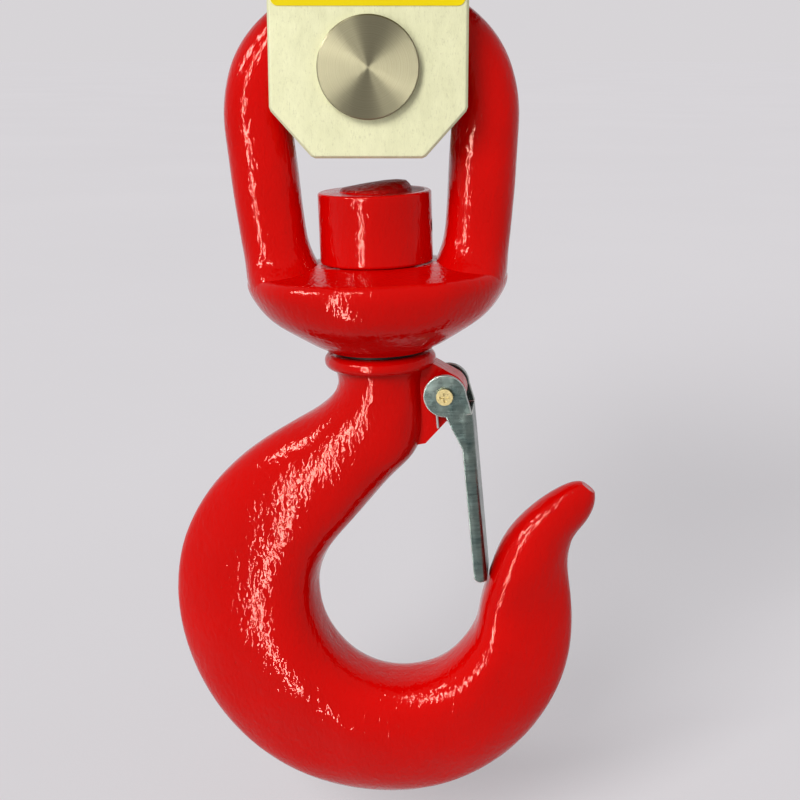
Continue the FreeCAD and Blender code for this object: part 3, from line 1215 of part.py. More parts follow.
def cap_hinge():
    """Fixed half of the cap's hinge: a foot on the wall, two ears and their pin."""
    near = CAP_KNUCKLE_LENGTH / 2 + LOOSE
    reach = near + CAP_EAR
    wall_x = HOUSING_WIDTH / 2
    y = (CAP_AXIS.y - CAP_KNUCKLE_RADIUS, CAP_AXIS.y + CAP_KNUCKLE_RADIUS)
    pieces = []
    for side in (-1, 1):
        z = tuple(sorted((CAP_AXIS.z + side * near, CAP_AXIS.z + side * reach)))
        pieces.append(block((wall_x, CAP_AXIS.x), y, z))
        pieces.append(rod(2 * CAP_KNUCKLE_RADIUS, V(CAP_AXIS.x, CAP_AXIS.y, z[0]), Z, CAP_EAR))
    foot_thick = min(CAP_FOOT[0], CAP_AXIS.x - CAP_KNUCKLE_RADIUS - LOOSE - wall_x)
    foot_z = (CAP_AXIS.z - reach, CAP_AXIS.z + reach)
    pieces.append(block((wall_x, wall_x + foot_thick), (y[0], y[1] + CAP_FOOT[1]), foot_z))
    pieces.append(rod(2 * CAP_PIN_RADIUS, CAP_AXIS - Z * reach, Z, 2 * reach))
    return fused(pieces)


# ---- swivel link ------------------------------------------------------------------------------------------
def leg_edges(drop):
    """Outer and inner distance of a leg from the axis, at a depth below the start of the arch."""
    share = drop / FLOOR_DROP
    outer = LINK_HALF_WIDTH - LINK_CLOSING * share**1.6
    return outer, LINK_HALF_WIDTH - LINK_LEG - LINK_CLOSING * 0.9 * share


def leg_section(height, inwards=0.0, deeper=0.0, moved_in=0.0):
    """Section of the left leg at a height above the base's floor."""
    outer, inner = leg_edges(min(FLOOR_DROP - height, FLOOR_DROP))
    z = FLOOR_Z + height
    return bar_section(V(inwards - inner, 0, z), V(moved_in - outer, 0, z), LINK_DEPTH + deeper, 2.4)


def arch_section(angle_deg):
    """Section of the arch, at an angle from the crown towards the left leg."""
    turn = math.radians(angle_deg)
    rise = LINK_ARCH_RISE - LINK_CROWN
    outer = V(-LINK_HALF_WIDTH * math.sin(turn), 0, ARCH_Z + LINK_ARCH_RISE * math.cos(turn))
    inner = V(-(LINK_HALF_WIDTH - LINK_LEG) * math.sin(turn), 0, ARCH_Z + rise * math.cos(turn))
    return bar_section(inner, outer, LINK_DEPTH, 2.4)


def link_sections():
    """Sections along the bail, from the foot of the left leg over the crown to the foot of the right leg."""
    left = [leg_section(*row) for row in LEG_FOOT]
    left += [leg_section(FLOOR_DROP * share) for share in (0.3, 0.52, 0.76)]
    left += [arch_section(angle) for angle in (90, 65, 42, 20)]
    right = [section.mirror(V(0, 0, 0), X) for section in reversed(left)]
    return left + [arch_section(0)] + right


def base_section(drop, half):
    """Level section of the base; it is rounder lower down."""
    ratio = BASE_DEPTH_RATIO + (1 - BASE_DEPTH_RATIO) * (drop / BASE_HEIGHT) ** 1.5
    return ring_curve(V(0, 0, FLOOR_Z - drop), X * half, Y * half * ratio, 2.0)


def link_base():
    """Round base under the legs: a sloping floor, a rounded rim, and sides drawn in to the swivel's face."""
    widest = LINK_HALF_WIDTH - LINK_CLOSING
    floor = Part.makeLoft([base_section(drop, widest * share) for drop, share in BASE_FLOOR], True, True)
    sections = [base_section(drop, widest * share) for drop, share in BASE_SIDE]
    sections.append(base_section(BASE_HEIGHT, BASE_BOTTOM_RADIUS))
    return floor.fuse(Part.makeLoft(sections, True, False))


def link_upright():
    """Swivel link, one forging: the bail fused to its base and bored for the hook's shank."""
    bail = Part.makeLoft(link_sections(), True, False)
    body = bail.fuse(link_base())
    bore = rod(SHANK_DIAMETER + 2 * RUNNING, V(0, 0, BASE_Z - 1), Z, BASE_HEIGHT + 2)
    return body.cut(bore)


def washer_upright():
    start = V(0, 0, BASE_Z - SNUG)
    disc = rod(SHANK_DIAMETER + 2 * WASHER_RING, start, Z * -1, WASHER_THICK)
    return disc.cut(rod(SHANK_DIAMETER + 2 * RUNNING, start, Z * -1, WASHER_THICK))


# ---- swivel hook ------------------------------------------------------------------------------------------
def polar(angle_deg, reach):
    """Point round the bowl's centre; 0 is right, 90 is up."""
    angle = math.radians(angle_deg)
    return BOWL_CENTRE + V(reach * math.cos(angle), 0, reach * math.sin(angle))


def hook_sections():
    """Sections from the collar, down the neck and the back, round the bowl and out to the point."""
    sections = []
    for drop, share in NECK_START:
        half = V(NECK_DIAMETER / 2 * share, 0, 0)
        centre = V(0, 0, COLLAR_Z - drop)
        sections.append(bar_section(centre + half, centre - half, NECK_DIAMETER * share, 2.05))
    above = V(0, 0, BOWL_CENTRE.z)
    for step, (inner, outer, thick) in enumerate(BACK_SECTIONS):
        thinning = HOOK_THINNING * (step + 1) / (len(BACK_SECTIONS) + 1)
        ends = (above + V(inner[0], 0, inner[1]), above + V(outer[0], 0, outer[1]))
        sections.append(bar_section(*ends, HOOK_THICK * thick, HOOK_SQUARENESS, thinning))
    for angle, inner, outer, thick in BOWL_SECTIONS:
        ends = (polar(angle, BOWL_RADIUS * inner), polar(angle, BOWL_RADIUS * outer))
        sections.append(bar_section(*ends, HOOK_THICK * thick, HOOK_SQUARENESS, HOOK_THINNING))
    for step, (inner, outer, thick) in enumerate(POINT_SECTIONS):
        thinning = HOOK_THINNING * (1 - (step + 1) / len(POINT_SECTIONS))
        ends = (BOWL_CENTRE + V(inner[0], 0, inner[1]), BOWL_CENTRE + V(outer[0], 0, outer[1]))
        sections.append(bar_section(*ends, HOOK_THICK * thick, 2.2, thinning))
    return sections


def latch_lug():
    """Flat lug on the neck that carries the latch's screw."""
    start, end = math.radians(60), math.radians(-35)
    top = PIVOT + V(math.cos(start), 0, math.sin(start)) * LUG_RADIUS
    middle = PIVOT + X * LUG_RADIUS
    low = PIVOT + V(math.cos(end), 0, math.sin(end)) * LUG_RADIUS
    neck_x = NECK_DIAMETER / 2
    shoulder = V(neck_x * 1.1, 0, COLLAR_Z - COLLAR_HEIGHT * 0.45)
    root_top = V(0, 0, shoulder.z)
    root_low = V(0, 0, PIVOT.z - 3 * LUG_RADIUS)
    heel = V(neck_x * 1.02, 0, PIVOT.z - 2.6 * LUG_RADIUS)
    wire = Part.Wire([
        Part.LineSegment(root_top, shoulder).toShape(),
        Part.LineSegment(shoulder, top).toShape(),
        Part.Arc(top, middle, low).toShape(),
        Part.LineSegment(low, heel).toShape(),
        Part.LineSegment(heel, root_low).toShape(),
        Part.LineSegment(root_low, root_top).toShape(),
    ])
    plate = Part.Face(wire).extrude(Y * LUG_THICK)
    plate.translate(V(0, -LUG_THICK / 2, 0))
    return plate


def peened_end(z):
    """End of the shank, hammered over to one side."""
    sections = []
    radius = SHANK_DIAMETER / 2
    for rise, share, off in PEENED_END:
        centre = V(off * SHANK_DIAMETER, 0, z + rise * SHANK_PROUD)
        sections.append(ring_curve(centre, X * radius * share, Y * radius * share, 2.0))
    return Part.makeLoft(sections, True, True)


def hook_upright():
    """Hook, one forging: shank, collar, neck, bowl and point, with the latch's lug."""
    top = NUT_Z + NUT_HEIGHT
    shank = rod(SHANK_DIAMETER, V(0, 0, COLLAR_Z - 1), Z, top - COLLAR_Z + 1)
    collar = rod(COLLAR_DIAMETER, V(0, 0, COLLAR_Z - COLLAR_HEIGHT), Z, COLLAR_HEIGHT)
    collar = collar.makeFillet(COLLAR_EDGE, [e for e in collar.Edges if isinstance(e.Curve, Part.Circle)])
    body = Part.makeLoft(hook_sections(), True, False)
    hook = body.fuse([shank, peened_end(top), collar, latch_lug()])
    hook = hook.cut(rod(SCREW_DIAMETER + 2 * RUNNING, PIVOT - Y * LUG_THICK, Y, 2 * LUG_THICK))
    return hook.cut(lock_pin_hole())


def lock_pin_hole():
    start = V(-NUT_DIAMETER, 0, NUT_Z + NUT_HEIGHT / 2)
    return rod(LOCK_PIN_DIAMETER + 2 * RUNNING, start, X, 2 * NUT_DIAMETER)


def nut_upright():
    nut = rod(NUT_DIAMETER, V(0, 0, NUT_Z), Z, NUT_HEIGHT)
    nut = nut.makeFillet(NUT_EDGE, [e for e in nut.Edges if isinstance(e.Curve, Part.Circle)])
    nut = nut.cut(rod(SHANK_DIAMETER + 2 * RUNNING, V(0, 0, NUT_Z - 1), Z, NUT_HEIGHT + 2))
    return nut.cut(lock_pin_hole())


def lock_pin_upright():
    length = NUT_DIAMETER - 1.0
    pin = rod(LOCK_PIN_DIAMETER, V(-length / 2, 0, NUT_Z + NUT_HEIGHT / 2), X, length)
    return pin.cut(rod(LOCK_PIN_DIAMETER / 2, V(-length / 2, 0, NUT_Z + NUT_HEIGHT / 2), X, length))


# ---- safety latch, drawn with its pivot at the origin and its length straight down ------------------------
def latch_outline():
    """Side of the latch: a round cheek that narrows to a long straight side."""
    bottom = math.radians(-93)
    narrow = WEB_X - LATCH_LEG
    left = V(-CHEEK_RADIUS, 0, 0)
    arc_end = V(math.cos(bottom), 0, math.sin(bottom)) * CHEEK_RADIUS
    right = V(CHEEK_RADIUS, 0, 0)
    up = V(0, 0, CHEEK_RADIUS)
    slope = V(WEB_X, 0, -CHEEK_RADIUS)
    down_left = V(-math.sin(math.pi / 4), 0, -math.sin(math.pi / 4)) * CHEEK_RADIUS
    toe = V(narrow + LATCH_TOE, 0, -LATCH_LENGTH)
    toe_up = V(narrow, 0, -LATCH_LENGTH + LATCH_TOE)
    toe_mid = toe + V(-LATCH_TOE * math.sin(math.pi / 4), 0, LATCH_TOE * (1 - math.sin(math.pi / 4)))
    wire = Part.Wire([
        Part.Arc(right, up, left).toShape(),
        Part.Arc(left, down_left, arc_end).toShape(),
        Part.LineSegment(arc_end, V(narrow, 0, -LATCH_FLARE)).toShape(),
        Part.LineSegment(V(narrow, 0, -LATCH_FLARE), toe_up).toShape(),
        Part.Arc(toe_up, toe_mid, toe).toShape(),
        Part.LineSegment(toe, V(WEB_X, 0, -LATCH_LENGTH)).toShape(),
        Part.LineSegment(V(WEB_X, 0, -LATCH_LENGTH), slope).toShape(),
        Part.LineSegment(slope, right).toShape(),
    ])
    plate = Part.Face(wire).extrude(Y * LATCH_WIDTH)
    plate.translate(V(0, -LATCH_WIDTH / 2, 0))
    return plate


def latch_straight():
    """Sheet-metal channel: two cheeks, and a web along the outer edge with rolled bends."""
    half = LATCH_WIDTH / 2
    inside = half - LATCH_SHEET
    low = -LATCH_LENGTH - 1
    rolled = block((-2 * CHEEK_RADIUS, WEB_X), (-half, half), (low, -LATCH_TOP))
    bends = [e for e in edges_along(rolled, Z) if e.BoundBox.XMin > WEB_X - 0.01]
    rolled = rolled.makeFillet(LATCH_BEND, bends)
    plain = block((-2 * CHEEK_RADIUS, 2 * CHEEK_RADIUS), (-half, half), (-LATCH_TOP, 2 * CHEEK_RADIUS))
    body = latch_outline().common(rolled.fuse(plain))
    hollow = block((-2 * CHEEK_RADIUS, WEB_X - LATCH_SHEET), (-inside, inside), (low, 2 * CHEEK_RADIUS))
    inner_bends = [e for e in edges_along(hollow, Z) if e.BoundBox.XMin > 0]
    hollow = hollow.makeFillet(LATCH_BEND - LATCH_SHEET, inner_bends)
    window = block((-2 * CHEEK_RADIUS, 2 * CHEEK_RADIUS), (-inside, inside), (-LATCH_TOP, 2 * CHEEK_RADIUS))
    body = body.cut(hollow).cut(window)
    return body.cut(rod(SCREW_DIAMETER + 2 * RUNNING, V(0, -LATCH_WIDTH, 0), Y, 2 * LATCH_WIDTH))


def place_latch(shape):
    shape = shape.copy()
    shape.rotate(V(0, 0, 0), Y, -LATCH_LEAN_DEG)
    shape.translate(PIVOT)
    return shape


def latch_screw_straight():
    """Cross-head screw that the latch turns on."""
    front = -(LATCH_WIDTH / 2 + SNUG)
    reach = LATCH_WIDTH + 2 * SNUG + LATCH_NUT_LENGTH + 1.5
    body = screw(SCREW_DIAMETER, SCREW_HEAD_DIAMETER, SCREW_HEAD_LENGTH, V(0, front, 0), Y, reach)
    face = front - SCREW_HEAD_LENGTH
    for size in ((SCREW_HEAD_DIAMETER * 0.6, 1.0), (1.0, SCREW_HEAD_DIAMETER * 0.6)):
        body = body.cut(centred(size[0], (face - 1, face + 1.0), size[1]))
    return body


def latch_nut_straight():
    seat = V(0, LATCH_WIDTH / 2 + SNUG, 0)
    nut = hexagon(LATCH_NUT_FLATS, seat, Y, LATCH_NUT_LENGTH)
    return nut.cut(rod(SCREW_DIAMETER + 2 * RUNNING, seat, Y, LATCH_NUT_LENGTH))


def wire_tube(points, diameter, across, sides=8):
    """Thin bent wire along points, with flat facets; across is a direction that the wire never runs in."""
    rings = []
    for index, point in enumerate(points):
        along = (points[min(index + 1, len(points) - 1)] - points[max(index - 1, 0)]).normalize()
        first = (across - along * across.dot(along)).normalize()
        second = along.cross(first)
        turns = [2 * math.pi * step / sides for step in range(sides)]
        spokes = [first * math.cos(turn) + second * math.sin(turn) for turn in turns]
        rings.append([point + spoke * (diameter / 2) for spoke in spokes])
    facets = [rings[0], rings[-1]]
    for one, two in zip(rings, rings[1:]):
        for step in range(sides):
            after = (step + 1) % sides
            facets += [[one[step], one[after], two[after]], [one[step], two[after], two[step]]]
    shape = Part.Solid(Part.Shell([Part.Face(Part.makePolygon(facet + facet[:1])) for facet in facets]))
    if shape.Volume < 0:
        shape.reverse()
    return shape


def spring_side(side):
    """Coil on one side of the lug, with a short leg behind the web and a long leg down the hook's neck."""
    pitch = SPRING_WIRE * 1.1
    start_y = LUG_THICK / 2 + SPRING_WIRE / 2 + 2 * SNUG
    points = [V(SPRING_RADIUS, side * start_y, -SPRING_LEG * share) for share in (1.0, 0.6, 0.3)]
    for step in range(int(SPRING_STEPS * SPRING_TURNS) + 1):
        turn = 2 * math.pi * step / SPRING_STEPS
        y = side * (start_y + pitch * step / SPRING_STEPS)
        points.append(V(SPRING_RADIUS * math.cos(turn), y, SPRING_RADIUS * math.sin(turn)))
    end_y = side * (start_y + pitch * SPRING_TURNS)
    points += [V(-SPRING_RADIUS, end_y, -reach) for reach in (2.0, CHEEK_RADIUS, CHEEK_RADIUS * 1.6)]
    return wire_tube(points, SPRING_WIRE, Y)


def latch_spring_straight():
    """Two torsion springs, one each side of the lug, that hold the latch shut."""
    return group([spring_side(-1), spring_side(1)])


# ---- hanging the link and hook ----------------------------------------------------------------------------
def hung(shape, turned=False):
    """Moves an upright piece to its place below the lower pin; the hook's own pieces turn on the swivel."""
    shape = shape.copy()
    if turned:
        shape.rotate(V(0, 0, 0), Z, SWIVEL_TURN_DEG)
    shape.rotate(V(0, 0, 0), Y, -HANG_DEG)
    shape.translate(V(0, 0, PIN_Z))
    return shape


def pieces():
    """Every sub-part by name."""
    made = {
        "shackle_bow": shackle_bow(),
        "shackle_bolt": shackle_bolt(),
        "shackle_nut": shackle_nut(),
        "shackle_cotter": shackle_cotter(),
        "load_cell_bar": load_cell_bar(),
        "strain_gauges": strain_gauges(),
        "gauge_covers": gauge_covers(),
        "gauge_cover_screws": gauge_cover_screws(),
        "cable_gland": cable_gland(),
        "gauge_cable": gauge_cable(),
        "front_label": front_label(),
        "lower_pin": lower_pin(),
        "pin_keeper": pin_keeper(),
        "keeper_bolts": keeper_bolts(),
        "front_shell": front_shell(),
        "rear_shell": rear_shell(),
        "shell_gasket": shell_gasket(),
        "shell_screws": shell_screws(),
        "top_grommet": top_grommet(),
        "bottom_grommet": bottom_grommet(),
        "cell_brackets": cell_brackets(),
        "bracket_bolts": bracket_bolts(),
        "bracket_screws": bracket_screws(),
        "display_bezel": display_bezel(),
        "bezel_screws": bezel_screws(),
        "display_window": display_window(),
        "window_seal": window_seal(),
        "digit_module": digit_module(),
        "digit_segments": digit_segments(),
        "main_board": main_board(),
        "board_standoffs": board_standoffs(),
        "board_screws": board_screws(),
        "board_parts": board_parts(),
        "key_switches": key_switches(),
        "status_lights": status_lights(),
        "battery_tray": battery_tray(),
        "tray_screws": tray_screws(),
        "battery_pack": battery_pack(),
        "battery_terminals": battery_terminals(),
        "battery_seal": battery_seal(),
        "battery_cover": battery_cover(),
        "charge_socket": charge_socket(),
        "socket_nut": socket_nut(),
        "cap_hinge": cap_hinge(),
        "socket_cap": socket_cap(),
        "swivel_link": hung(link_upright()),
        "swivel_washer": hung(washer_upright()),
        "hook_forging": hung(hook_upright(), turned=True),
        "swivel_nut": hung(nut_upright(), turned=True),
        "nut_lock_pin": hung(lock_pin_upright(), turned=True),
        "latch_plate": hung(place_latch(latch_straight()), turned=True),
        "latch_screw": hung(place_latch(latch_screw_straight()), turned=True),
        "latch_nut": hung(place_latch(latch_nut_straight()), turned=True),
        "latch_spring": hung(place_latch(latch_spring_straight()), turned=True),
    }
    for name, x in zip(("power_key", "zero_key", "tare_key", "hold_key"), key_places()):
        made[name] = key(x)
    for name, x in zip(("cover_screw_left", "cover_screw_right"), thumbscrew_places()):
        made[name] = thumbscrew(x)
    return made


def main():
    os.makedirs("parts", exist_ok=True)
    for name, shape in pieces().items():
        shape.exportStep(f"parts/{name}.step")


main()
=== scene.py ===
"""Looks for the crane scale: its materials, and the lamps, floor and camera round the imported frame.

Lengths are in metres, and in degrees where a name ends in _DEG. Colours are linear red, green and blue.
"""
import json
import math
from functools import partial

import bmesh
import bpy
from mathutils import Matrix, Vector

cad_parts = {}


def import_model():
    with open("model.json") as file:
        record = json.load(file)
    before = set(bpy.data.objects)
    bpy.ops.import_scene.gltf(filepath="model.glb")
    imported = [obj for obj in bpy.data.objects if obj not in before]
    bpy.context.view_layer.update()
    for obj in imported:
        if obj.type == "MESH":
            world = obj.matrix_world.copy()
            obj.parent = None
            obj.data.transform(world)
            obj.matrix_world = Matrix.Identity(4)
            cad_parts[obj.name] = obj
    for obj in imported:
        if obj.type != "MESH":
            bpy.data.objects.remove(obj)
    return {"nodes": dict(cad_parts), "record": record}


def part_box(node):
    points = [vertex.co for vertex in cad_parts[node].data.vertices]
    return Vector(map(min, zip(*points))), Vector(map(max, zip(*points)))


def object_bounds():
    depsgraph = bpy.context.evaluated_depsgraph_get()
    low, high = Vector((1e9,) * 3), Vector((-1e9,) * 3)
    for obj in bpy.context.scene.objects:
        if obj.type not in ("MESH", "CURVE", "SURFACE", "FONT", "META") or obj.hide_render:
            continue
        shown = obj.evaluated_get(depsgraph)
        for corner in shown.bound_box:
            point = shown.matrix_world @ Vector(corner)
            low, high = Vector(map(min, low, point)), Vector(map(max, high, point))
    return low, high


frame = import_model()
cad_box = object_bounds()

SLOTS = [material["slot"] for material in frame["record"]["materials"]]
PIN_LOW, PIN_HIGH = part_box("lower_pin")
PIN_CENTRE = (PIN_LOW + PIN_HIGH) / 2
NUT_LOW, NUT_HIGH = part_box("swivel_nut")
NUT_CENTRE = (NUT_LOW + NUT_HIGH) / 2

# ---- camera -----------------------------------------------------------------------------------------------
CAMERA_PLACE = Vector((0.01292, -0.60783, -0.44263))
CAMERA_PITCH_DEG = 14.5
CAMERA_NEAR = 0.01
LENS_MM = 62.28
SENSOR_MM = 36.0

# ---- light ------------------------------------------------------------------------------------------------
# Three upright lamps on the left give only gloss: each one's turn to the left, distance, width and low and
# high end. The tall one goes on below the floor, which gloss doesn't see, so that low round faces have its
# streak too. A soft sun and even light all round do the rest.
GLOSS_LAMPS = {
    "strip": dict(left_deg=30.0, away=0.95, width=0.09, low=-1.40, high=0.06),
    "upper": dict(left_deg=27.0, away=0.85, width=0.13, low=0.20, high=0.50),
    "side": dict(left_deg=60.0, away=0.85, width=0.15, low=-0.20, high=0.05),
}
GLOSS_RADIANCE = 56.0
SUN_LEFT_DEG = 27.0
SUN_HEIGHT_DEG = 33.0
SUN_ANGLE_DEG = 28.0
SUN_STRENGTH = 2.2
SUN_COLOUR = (1.0, 0.985, 0.965)
WORLD_COLOUR = (0.40, 0.39, 0.395)
BACKGROUND_COLOUR = (0.68, 0.66, 0.68)

# ---- floor ------------------------------------------------------------------------------------------------
FLOOR_COLOUR = (0.555, 0.545, 0.572)
FLOOR_CLOUDING = 0.97
FLOOR_GLOW = (0.255, 0.25, 0.255)
FLOOR_GAP = 0.045
FLOOR_RADIUS = 30.0
FLOOR_RINGS = 24
FLOOR_SPOKES = 96
FLOOR_RING_POWER = 3

# ---- colours of the pieces: each base, then its clouds, streaks, wear and painted shade or highlight ------
ENAMEL, ENAMEL_CLOUD, ENAMEL_SPECK = (0.70, 0.0008, 0.0004), (0.60, 0.0006, 0.0003), (0.44, 0.002, 0.001)
# The hammered end's dark red is partly thin paint and partly painted shade.
ENAMEL_HAMMERED_SHADE, ENAMEL_GLINT = (0.25, 0.001, 0.001), (1.0, 0.48, 0.38)
NICKEL, NICKEL_CLOUD, NICKEL_GRAIN = (0.80, 0.80, 0.52), (0.72, 0.72, 0.46), (0.58, 0.57, 0.36)
NICKEL_EDGE = (0.93, 0.93, 0.80)
PIN_STEEL, PIN_RING = (0.195, 0.178, 0.108), (0.25, 0.232, 0.15)
CRYSTAL_DARK, CRYSTAL_PALE, CRYSTAL_DULL = (0.50, 0.515, 0.53), (0.66, 0.67, 0.68), (0.44, 0.45, 0.46)
ZINC, ZINC_STREAK, ZINC_SPOT = (0.11, 0.155, 0.145), (0.035, 0.06, 0.055), (0.27, 0.31, 0.27)
# The latch's bright edge tone is partly rubbed metal and partly a painted highlight.
ZINC_RUBBED_EDGE_AND_HIGHLIGHT = (0.92, 0.92, 0.86)
FILM, FILM_CLOUD = (0.98, 0.78, 0.005), (0.95, 0.74, 0.004)
BOARD, BOARD_TRACK = (0.012, 0.16, 0.06), (0.03, 0.30, 0.11)
DIGIT, DIGIT_CLOUD = (0.9, 0.03, 0.015), (0.75, 0.02, 0.01)

# Plain metal, coats and clear plastic have one colour each. These are their second tones, as shares of it.
METAL_BLOTCH, METAL_LINE = 0.72, 0.8
COAT_CLOUD, COAT_WORN = 0.8, 1.25
CLEAR_CLOUD = 0.92

# ---- shank end, hammered over the swivel nut --------------------------------------------------------------
# It is what lies within the radius of the nut's axis, from sunk below the nut's top face to height above it.
# The others say how much of the darker tone, the dents and the added roughness it has. The darker tone is
# partly thin paint on the hammered metal and partly painted shade, because the nut's top lies in shadow.
HAMMERED_RADIUS = 0.0215
HAMMERED_HEIGHT = 0.012
HAMMERED_SUNK = 0.0006
HAMMERED_SHADE_TONE = 0.75
HAMMERED_DENTS = 8.0
HAMMERED_ROUGHNESS = 0.25

# ---- edges and rings --------------------------------------------------------------------------------------
# A place is an edge where the rounded normal turns away from the true one. These are the cosines of that turn
# where it is all edge and where it is none.
EDGE_COSINE, FLAT_COSINE = 0.80, 0.97
EDGE_SAMPLES = 6
NICKEL_EDGE_RADIUS, NICKEL_EDGE_WEAR = 0.0007, 0.6
ZINC_EDGE_RADIUS = 0.0009
PIN_RINGS_PER_METRE = 4200.0

# The mix node's sockets for colour come after the ones for numbers and vectors.
MIX_SHARE, MIX_FIRST, MIX_SECOND, MIX_RESULT = 0, 6, 7, 2


def opaque(colour):
    return (*colour, 1.0)


def darker(colour, share):
    return tuple(part * share for part in colour)


class Nodes:
    """A node tree, built from short calls. A value is a number, a colour or another node's socket."""

    def __init__(self, tree):
        self.tree = tree

    def add(self, kind, **settings):
        node = self.tree.nodes.new(kind)
        for key, value in settings.items():
            setattr(node, key, value)
        return node

    def put(self, socket, value):
        if isinstance(value, bpy.types.NodeSocket):
            self.tree.links.new(value, socket)
        else:
            socket.default_value = value

    def fill(self, node, **values):
        """Sets a node's sockets by name, with _ for a space: Base_Color=..., Roughness=... and so on."""
        for key, value in values.items():
            self.put(node.inputs[key.replace("_", " ")], value)

    def calc(self, operation, *values):
        """A sum on numbers or sockets: "ADD", "MULTIPLY", "MAXIMUM", "LESS_THAN" and so on."""
        node = self.add("ShaderNodeMath", operation=operation)
        for socket, value in zip(node.inputs, values):
            self.put(socket, value)
        return node.outputs[0]

    def mix(self, share, first, second):
        """First where share is 0, second where it is 1."""
        node = self.add("ShaderNodeMix", data_type="RGBA")
        self.put(node.inputs[MIX_SHARE], share)
        for place, value in ((MIX_FIRST, first), (MIX_SECOND, second)):
            self.put(node.inputs[place], value if isinstance(value, bpy.types.NodeSocket) else opaque(value))
        return node.outputs[MIX_RESULT]


class Surface(Nodes):
    """One material's node tree. Textures follow the object; their scales are in features per metre."""

    def __init__(self, name):
        self.material = bpy.data.materials.new(name)
        self.material.use_nodes = True
        super().__init__(self.material.node_tree)
        self.place = self.add("ShaderNodeTexCoord").outputs["Object"]

    def finish(self, **values):
        """Sets the shader's sockets and gives back the material."""
        self.fill(self.tree.nodes["Principled BSDF"], **values)
        return self.material

    def moved(self, scale, turn=(0, 0, 0)):
        """Object coordinates: a scale under 1 draws a texture out along that axis."""
        node = self.add("ShaderNodeMapping")
        self.fill(node, Vector=self.place, Rotation=turn, Scale=scale)
        return node.outputs["Vector"]

    def noise(self, scale, detail=3.0, rough=0.55, place=None, warp=0.0):
        """Clouds from 0 to 1. Detail is how many finer layers they have, and rough how strong those are."""
        node = self.add("ShaderNodeTexNoise")
        self.fill(node, Vector=place or self.place, Scale=scale)
        self.fill(node, Detail=detail, Roughness=rough, Distortion=warp)
        return node.outputs["Fac"]

    def span(self, value, low, high, start=0.3, end=0.7):
        """Takes value from start..end to low..high, held at the ends."""
        node = self.add("ShaderNodeMapRange")
        self.fill(node, Value=value, From_Min=start, From_Max=end, To_Min=low, To_Max=high)
        return node.outputs["Result"]

    def uneven(self, low, high, scale, detail=3.0):
        """A number that wanders from low to high over the surface."""
        return self.span(self.noise(scale, detail), low, high)

    def clouded(self, first, second, cloud, most=1.0, start=0.3, end=0.7):
        """First, giving way to second by up to most where the cloud rises from start to end."""
        return self.mix(self.span(cloud, 0.0, most, start, end), first, second)

    def bump(self, height, distance, under=None):
        """Distance is how far the surface rises where height goes from 0 to 1, on top of under's normal."""
        node = self.add("ShaderNodeBump")
        self.fill(node, Strength=1.0, Distance=distance, Height=height)
        if under is not None:
            self.fill(node, Normal=under)
        return node.outputs["Normal"]

    def edges(self, radius):
        """The normal, rounded over at sharp edges, and how much of an edge each place is, 0 to 1."""
        bevel = self.add("ShaderNodeBevel", samples=EDGE_SAMPLES)
        self.fill(bevel, Radius=radius)
        turn = self.add("ShaderNodeVectorMath", operation="DOT_PRODUCT")
        self.put(turn.inputs[0], bevel.outputs["Normal"])
        self.put(turn.inputs[1], self.add("ShaderNodeNewGeometry").outputs["Normal"])
        edge = self.span(turn.outputs["Value"], 1.0, 0.0, EDGE_COSINE, FLAT_COSINE)
        return bevel.outputs["Normal"], edge

    def radius_from(self, centre, axis):
        """Distance from a line through centre along axis "X", "Y" or "Z"."""
        shift = self.add("ShaderNodeVectorMath", operation="SUBTRACT")
        self.put(shift.inputs[0], self.place)
        self.put(shift.inputs[1], centre)
        flat = self.add("ShaderNodeVectorMath", operation="MULTIPLY")
        self.put(flat.inputs[0], shift.outputs[0])
        self.put(flat.inputs[1], [0.0 if name == axis else 1.0 for name in "XYZ"])
        length = self.add("ShaderNodeVectorMath", operation="LENGTH")
        self.put(length.inputs[0], flat.outputs[0])
        return length.outputs["Value"]

    def hammered_end(self):
        """1 on the hook's shank end, just above the swivel nut, and 0 elsewhere."""
        split = self.add("ShaderNodeSeparateXYZ")
        self.put(split.inputs[0], self.place)
        height = split.outputs["Z"]
        above = self.calc("GREATER_THAN", height, NUT_HIGH.z - HAMMERED_SUNK)
        inside = self.calc("LESS_THAN", self.radius_from(NUT_CENTRE, "Z"), HAMMERED_RADIUS)
        near = self.calc("LESS_THAN", height, NUT_HIGH.z + HAMMERED_HEIGHT)
        return self.calc("MULTIPLY", above, self.calc("MULTIPLY", inside, near))


# ---- materials --------------------------------------------------------------------------------------------
def red_enamel(name):
    """Glossy enamel on a forging: fine peel over wide waves. The shank's end is darker (thin paint, partly
    painted shade), rough and dented.
    """
    s = Surface(name)
    hammered = s.hammered_end()
    tone = s.clouded(ENAMEL, ENAMEL_CLOUD, s.noise(14.0, detail=4.0))
    tone = s.clouded(tone, ENAMEL_SPECK, s.noise(900.0, detail=2.0), most=0.35, start=0.64, end=0.74)
    # Darker tone on the shank's end: partly thin paint, partly painted shade.
    tone = s.mix(s.calc("MULTIPLY", hammered, HAMMERED_SHADE_TONE), tone, ENAMEL_HAMMERED_SHADE)
    waves = s.bump(s.noise(23.0, detail=1.0), distance=0.0034)
    waves = s.bump(s.noise(50.0, detail=2.0, rough=0.5, warp=0.3), distance=0.0005, under=waves)
    peel = s.noise(440.0, detail=1.0, rough=0.4, place=s.moved((1, 1, 0.55)), warp=0.7)
    dents = s.calc("MULTIPLY", s.noise(170.0, rough=0.6), s.calc("MULTIPLY", hammered, HAMMERED_DENTS))
    rough = s.calc("MULTIPLY_ADD", hammered, HAMMERED_ROUGHNESS, s.uneven(0.065, 0.10, scale=60.0))
    return s.finish(Base_Color=tone, Roughness=rough,
                    Specular_IOR_Level=0.23, Specular_Tint=opaque(ENAMEL_GLINT),
                    Normal=s.bump(s.calc("ADD", peel, dents), distance=0.00026, under=waves))


